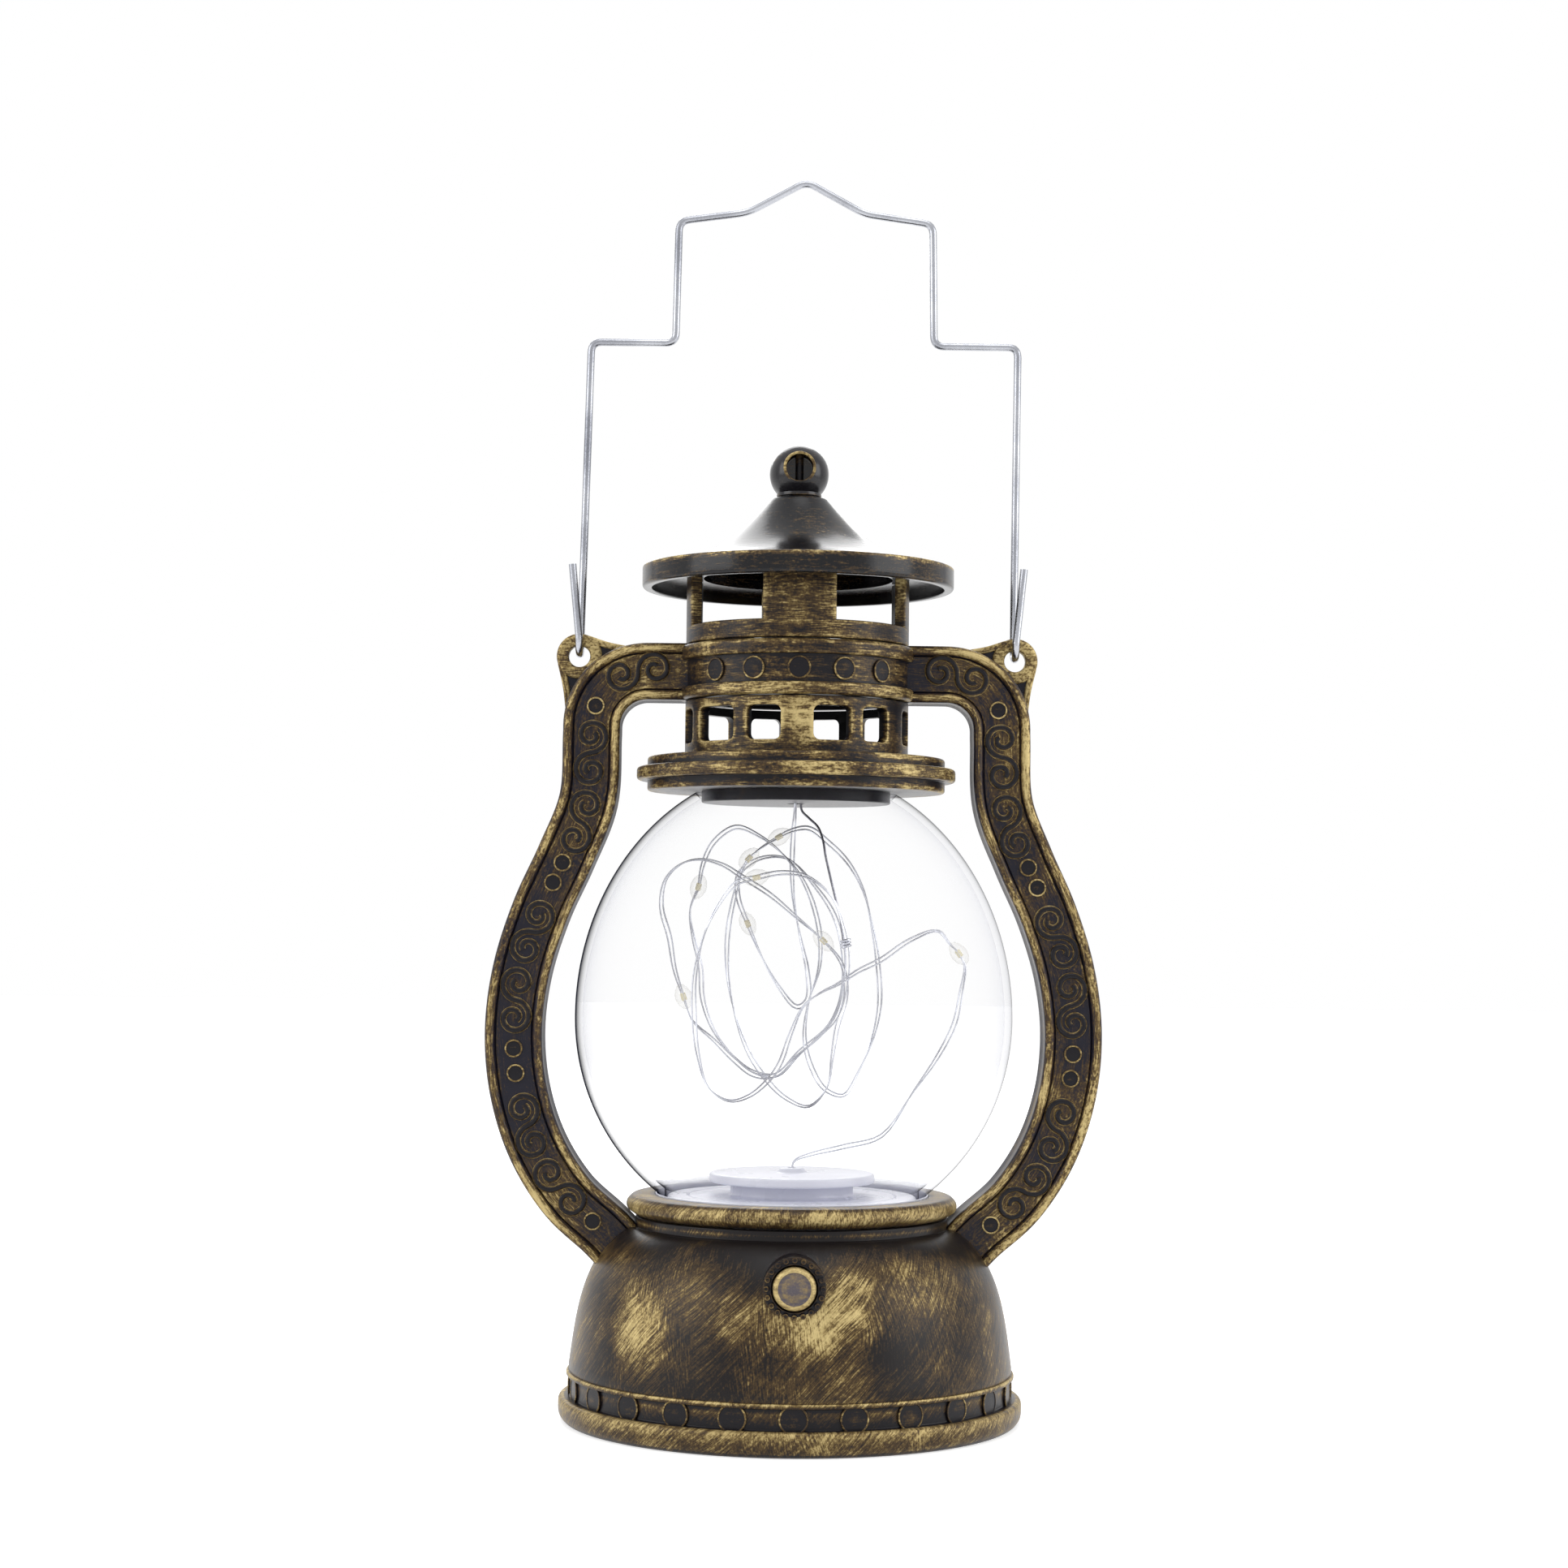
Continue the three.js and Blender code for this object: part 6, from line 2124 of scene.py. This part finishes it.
@dataclass
class Arm:
    """Side arm with its ear, and the scrolls and dots in its channels."""

    side: int
    width: float = 11.2
    depth: float = 11.0
    bead: float = 1.9
    channel: float = 1.0
    lip: float = 0.35
    start: float = 21.5
    top: float = 145.665
    corner_x: float = 29.4
    corner_z: float = 134.865
    corner_radius: float = 10.8
    waist: tuple[float, float] = (40.8, 120.365)
    belly: tuple[float, float] = (54.6, 75.386)
    foot: tuple[float, float] = (36.3, 36.3)
    foot_slope: float = 46.0
    ear: tuple[float, float] = (43.0, 148.765)
    ear_radius: float = 4.5
    ear_hole: float = 2.1
    ear_half: float = 1.5
    ridge_half: float = 0.65
    web_inner: float = 3.2
    web_half: float = 0.7
    dot_size: tuple[float, float] = (1.75, 0.5)
    scrolls: tuple[tuple[float, int], ...] = (
        (9.3, 0), (29.7, 1), (43.5, 0), (66.9, 1), (80.6, 0), (105.3, 1), (118.8, 0),
    )
    dots: tuple[float, ...] = (20.4, 52.2, 56.5, 90.0, 94.8, 128.0)

    def path(self) -> list[Vector]:
        """The arm's centreline from the collar down to its foot, for the right arm.

        Returns:
            The centreline's points.
        """
        def at(x: float, z: float) -> Vector:
            """A point in the arm's plane."""
            return Vector((x, 0, z))

        bend = [
            on_ring(self.corner_x, self.corner_z, self.corner_radius, math.pi / 2 * (1 - i / 24))
            for i in range(25)
        ]
        (waist_x, waist_z), (belly_x, belly_z) = self.waist, self.belly
        foot_x, foot_z = self.foot
        swell, fall = belly_x - waist_x, waist_z - belly_z
        sink, tuck = belly_z - foot_z, belly_x - foot_x
        slope = math.radians(self.foot_slope)
        lower = smooth_through([
            at(self.corner_x + self.corner_radius, self.corner_z - 1), at(waist_x, waist_z),
            *(at(waist_x + swell * out, waist_z - fall * down)
              for out, down in ((0.3, 0.245), (0.64, 0.48), (0.9, 0.74))),
            at(belly_x, belly_z),
            *(at(belly_x - tuck * back, belly_z - sink * down)
              for back, down in ((0.06, 0.3), (0.262, 0.586), (0.601, 0.831))),
            at(foot_x, foot_z),
            at(foot_x - 5 * math.cos(slope), foot_z - 5 * math.sin(slope)),
        ], 9)
        level = [at(self.start, self.top), at(self.start + 4, self.top)]
        return [*level, *bend, *lower]

    def section(self) -> Outline:
        """The bar's section: round beads at its edges and a sunk channel front and back.

        Returns:
            The section, across and deep.
        """
        half, deep, round_by = self.width / 2, self.depth / 2, self.bead / 2
        floor = deep - self.channel
        outline = Outline()
        inner, lip = self.bead - half, self.lip
        front = [(inner + lip, floor, 0.0), (inner + 0.1, floor - 0.3, -1.0)]
        for i in range(9):
            angle = math.pi * i / 8
            rise = math.sin(angle)
            front.append((
                -half + round_by + round_by * math.cos(angle), deep - round_by + round_by * rise,
                rise * 2.2 - 1.2,
            ))
        back = [(w, -d, shine) for w, d, shine in reversed(front)]
        left = [*front, (-half + lip, deep - 2.2, -0.8), (-half + lip, 0, 0.0),
                (-half + lip, 2.2 - deep, -0.8), *back]
        right = [(-w, -d, shine) for w, d, shine in left]
        fills = [(w, -floor, -0.45) for w in (-2.4, -1.2, 0, 1.2, 2.4)]
        other = [(-w, floor, shine) for w, _, shine in fills]
        for w, d, shine in (*left, *fills, *right, *other):
            outline.add(w, d, shine)
        return outline

    def bar(self) -> Solid:
        """The swept bar.

        Returns:
            The bar, for the right arm.
        """
        path = self.path()
        across = [Vector((t.z, 0, -t.x)) for t in directions(path)]
        return swept(path, across, Vector((0, 1, 0)), self.section())

    def eye(self) -> Solid:
        """The ear's ring, its web and the two ridges that run down to the bar.

        Returns:
            The ear, for the right arm.
        """
        x, z = self.ear
        half = self.ear_half
        ring = spun(oblong(self.ear_hole, -half, self.ear_radius, half, 0.7), 48)
        ring.moved(facing_front(x, z))
        bend = (self.corner_x, self.corner_z, self.corner_radius + self.width / 2 - 0.8)
        ends = [on_ring(*bend, math.radians(angle)) for angle in (8, 78)]
        starts = [on_ring(x, z, self.ear_radius - 0.6, math.radians(angle)) for angle in (-22, 118)]
        for start, end in zip(starts, ends):
            along = (end - start).normalized()
            side = Vector((along.z, 0, -along.x))
            middle = start.lerp(end, 0.5)
            bow = middle - (middle - Vector((x, 0, z))).normalized() * 0.5
            path = smooth_through([start, bow, end], 6)
            wide = self.ridge_half
            section = rounded(oblong(-wide, 0.1 - half, wide, half - 0.1, 0.5))
            ring.with_solid(swept(path, [side] * len(path), Vector((0, 1, 0)), section))
        web = Solid()
        # The web is a strip from round the hole to the bar's outer side.
        thin = self.web_half
        near = [on_ring(x, z, self.web_inner, math.radians(-22 - 220 * i / 24)) for i in range(25)]
        far = [on_ring(*bend, math.radians(8 + 70 * i / 24)) for i in range(25)]
        rows = [[web.point(spot + Vector((0, y, 0)), -1.5) for spot in line]
                for line, y in ((near, -thin), (far, -thin), (far, thin), (near, thin))]
        web.rows(rows, True, False)
        web.faces += [tuple(row[0] for row in rows), tuple(row[-1] for row in reversed(rows))]
        return ring.with_solid(web)

    def build(self, row: Tree, single: Tree) -> None:
        """Builds the arm and its ornament.

        Args:
            row: The tree that sets pieces along a path in a plane.
            single: The tree of a single strand.
        """
        flip = Matrix.Diagonal((self.side, 1, 1, 1))
        name = "right" if self.side > 0 else "left"
        whole = self.bar().with_solid(self.eye()).moved(flip)
        fitted(whole.built(f"{name}_arm_bar", ARM_BRONZE), "bronze_plastic", f"{name}_arm")
        line = curve_of("arm_path", [flip @ spot for spot in self.path()])
        scroll = scroll_piece(single)
        dot = stud(*self.dot_size, facing_front(0, 0))
        lead = 22 - self.start
        places = []
        for face in (-1, 1):
            for run, turned in self.scrolls:
                places.append((run + lead, 0, turned ^ (face > 0) ^ (self.side < 0), face))
            places += [(run + lead, 1, int(face > 0), face) for run in self.dots]
        name = f"{name}_arm_ornament"
        ornament = row.grown(
            name, points=row_points(name, places), Path=line, First=scroll, Second=dot,
            Lift=(self.depth / 2 - self.channel) * MM, Finish=material_of(SCROLL_BRONZE),
        )
        dropped(line, scroll, dot)
        fitted(ornament, "dark_bronze_plastic")


def scroll_piece(single: Tree) -> bpy.types.Object:
    """An S scroll of round wire in the XZ plane, its length along Z, for a tree to repeat.

    Args:
        single: The tree of a single strand.

    Returns:
        The scroll, which is dropped after use.
    """
    lobe = []
    steps, turns, centre, core, wire = 44, 1.35, 3.4, 0.8, 0.64
    for i in range(steps + 1):
        t = i / steps
        angle = -math.pi / 2 + turns * math.tau * (1 - t)
        radius = core + (centre - core) * t
        lobe.append(on_ring(0, centre, radius, angle))
    other = [Vector((-spot.x, 0, -spot.z)) for spot in reversed(lobe[:-1])]
    piece = wire_of(single, "scroll", [*lobe, *other], SCROLL_BRONZE, wire)
    # The wire's flanks, near the channel floor, take gold as a painted highlight outline, and its
    # top stays dark.
    edge = piece.data.attributes.new("edge", "FLOAT", "POINT")
    heights = [abs(spot.co.y) / (wire * MM) for spot in piece.data.vertices]
    edge.data.foreach_set("value", [
        max(-0.3, min(1.0, (0.85 - height) * 2.5)) for height in heights
    ])
    return piece


@dataclass
class Bail:
    """Bent wire handle, hooked through both ears from behind."""

    wire: float = 1.5
    pivot: float = 152.065
    ear_x: float = 43.0
    hook: float = 2.85
    hook_end: float = 14.7
    hook_lean: float = 1.5
    corners: tuple[tuple[float, float], ...] = (
        (42.6, 60.0), (25.8, 60.0), (25.4, 84.65), (11.7, 86.55),
    )
    apex: float = 92.95
    lean: float = 0.9
    bend: float = 2.0

    def path(self) -> list[Vector]:
        """The wire's centreline from hook to hook.

        Returns:
            The centreline's points.
        """
        def hook(side: int) -> list[Vector]:
            """One hook, from its free end round to the leg.

            Args:
                side: -1 for the left ear, 1 for the right one.

            Returns:
                The hook's points.
            """
            points = [Vector((side * (self.ear_x + self.hook_lean), -self.hook,
                              self.pivot + self.hook_end))]
            for i in range(17):
                angle = math.pi * (1 + i / 16)
                points.append(Vector((
                    side * self.ear_x, self.hook * math.cos(angle),
                    self.pivot + self.hook * math.sin(angle),
                )))
            return points

        def leg(side: int) -> list[Vector]:
            """The corners from one ear up to the crown.

            Args:
                side: -1 for the left ear, 1 for the right one.

            Returns:
                The corners.
            """
            return [
                Vector((side * x + self.lean, self.hook, self.pivot + rise))
                for x, rise in self.corners
            ]

        left, right = hook(-1), hook(1)
        top = Vector((self.lean, self.hook, self.pivot + self.apex))
        corners = [left[-1], *leg(-1), top, *reversed(leg(1)), right[-1]]
        bent = [corners[0]]
        for before, here, after in zip(corners, corners[1:], corners[2:]):
            start = here + (before - here).normalized() * self.bend
            end = here + (after - here).normalized() * self.bend
            bent += [eased(start, here, end, i / 6) for i in range(7)]
        return [*left[:-1], *bent, corners[-1], *reversed(right[:-1])]

    def build(self, single: Tree) -> None:
        """Builds the bail."""
        wire = wire_of(single, "bail_wire", self.path(), BAIL_STEEL, self.wire / 2, 0.5)
        fitted(wire, "bail_wire", "bail", body="bail")


@dataclass
class Inside:
    """Battery box with its cells, springs and door, and the switch with its board."""

    cell_radius: float = 5.25
    cell_length: float = 44.5
    nub_radius: float = 1.9
    nub_length: float = 1.2
    band: float = 9.0
    spring_wire: float = 0.5
    spring_radius: float = 2.9
    spring_length: float = 4.6
    spring_turns: float = 3.0
    count: int = 3

    def cells(self, single: Tree) -> None:
        """Builds the cells and their contact springs, every second one turned about.

        Args:
            single: The tree of a single strand.
        """
        for number in range(1, self.count + 1):
            low, high = (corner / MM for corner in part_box(f"battery_{number}"))
            self.cell(number, low, high)
            self.spring(single, number, (low + high) / 2)

    def cell(self, number: int, low: Vector, high: Vector) -> None:
        """Builds one cell.

        Args:
            number: Its number.
            low: The lower corner of its solid's box.
            high: The upper corner.
        """
        turned = number % 2 == 0
        radius, length, top = self.cell_radius, self.cell_length, self.nub_length
        cell = spun([
            Corner(0, 0), Corner(radius - 0.6, 0), Corner(radius, 0.5),
            Corner(radius, length - self.band), Corner(radius, length - self.band + 0.1, 0, 1),
            Corner(radius, length - top - 0.7, 0, 1), Corner(radius - 0.6, length - top, 0, 1),
            Corner(self.nub_radius, length - top, 0, 0.2),
            Corner(self.nub_radius, length, 0.3, 0), Corner(0, length),
        ], 40, closed=False)
        lie = Matrix.Rotation(-math.pi / 2 if turned else math.pi / 2, 4, "Y")
        centre = (low + high) / 2
        place = Matrix.Translation((high.x if turned else low.x, centre.y, centre.z))
        fitted(cell.moved(place @ lie).built(f"cell_{number}", CELL_SLEEVE),
               "battery_sleeve", f"battery_{number}")

    def spring(self, single: Tree, number: int, centre: Vector) -> None:
        """Builds one contact spring, which narrows towards its cell.

        Args:
            single: The tree of a single strand.
            number: Its number.
            centre: Its cell's centre.
        """
        low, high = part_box(f"contact_spring_{number}")
        base, way = (high.x / MM, -1) if number % 2 == 0 else (low.x / MM, 1)
        points = []
        steps = round(self.spring_turns * 24)
        for step in range(steps + 1):
            t = step / steps
            radius = self.spring_radius * (1 - 0.35 * t)
            angle = math.tau * self.spring_turns * t
            run = self.spring_wire / 2 + (self.spring_length - self.spring_wire) * t
            points.append(Vector((
                base + way * run, centre.y + way * radius * math.cos(angle),
                centre.z + radius * math.sin(angle),
            )))
        spring = wire_of(
            single, f"cell_spring_{number}", points, SPRING_STEEL, self.spring_wire / 2,
            sides=10,
        )
        fitted(spring, "spring_steel", f"contact_spring_{number}")

    @staticmethod
    def dress() -> None:
        """Gives their finishes to the solids that are shown as they are."""
        finishes = {
            "base_plate": BASE_BLACK, "battery_door": BASE_BLACK, "push_switch": SWITCH_BLACK,
            "switch_plunger": PLUNGER_WHITE, "circuit_board": BOARD_GREEN,
            **{f"base_screw_{i}": ZINC_STEEL for i in range(1, 5)},
            **{f"contact_plate_{i}": SPRING_STEEL for i in range(1, 4)},
        }
        for node, finish in finishes.items():
            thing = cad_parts[node]
            thing.data.materials.clear()
            thing.data.materials.append(material_of(finish))


def main() -> None:
    """Builds the studio, the string and then each sub-assembly in order."""
    logging.basicConfig(level=logging.INFO, format="%(name)s: %(message)s")
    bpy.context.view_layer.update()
    scene = bpy.context.scene
    scene.view_settings.view_transform = "Standard"
    studio = Studio()
    studio.camera()
    ring, row = ring_tree(), row_tree("row_in_a_plane", "Y")
    drops, single = row_tree("row_along_a_wire", "AUTO"), strand_tree("single_strand", [0])
    pair = strand_tree("pair_of_strands", [0, 0.5])
    string = FairyString()
    string.string(pair, drops)
    string.tie(single)
    base, globe, chimney, bail, inside = Base(), Globe(), Chimney(), Bail(), Inside()
    steps: list[tuple[str, Callable[[], None]]] = [
        ("base shell", base.shell),
        ("band studs", lambda: base.studs(ring)),
        ("button and collar", lambda: base.button(ring)),
        ("seat ring", base.seat),
        ("globe", globe.glass),
        ("lamp disc", globe.disc),
        ("globe cap", chimney.cap),
        ("vent gallery", chimney.gallery),
        ("collar band", lambda: chimney.collar(ring)),
        ("drum and posts", chimney.posts),
        ("roof", chimney.roof),
        ("finial", chimney.finial),
        ("left arm", lambda: Arm(-1).build(row, single)),
        ("right arm", lambda: Arm(1).build(row, single)),
        ("bail", lambda: bail.build(single)),
        ("cells and springs", lambda: inside.cells(single)),
        ("plain solids", inside.dress),
        ("world", studio.world),
        ("floor", studio.floor),
        ("lamps", studio.lamps),
    ]
    for name, step in steps:
        step()
        log.info("%s built", name)


if __name__ == "__main__":
    main()
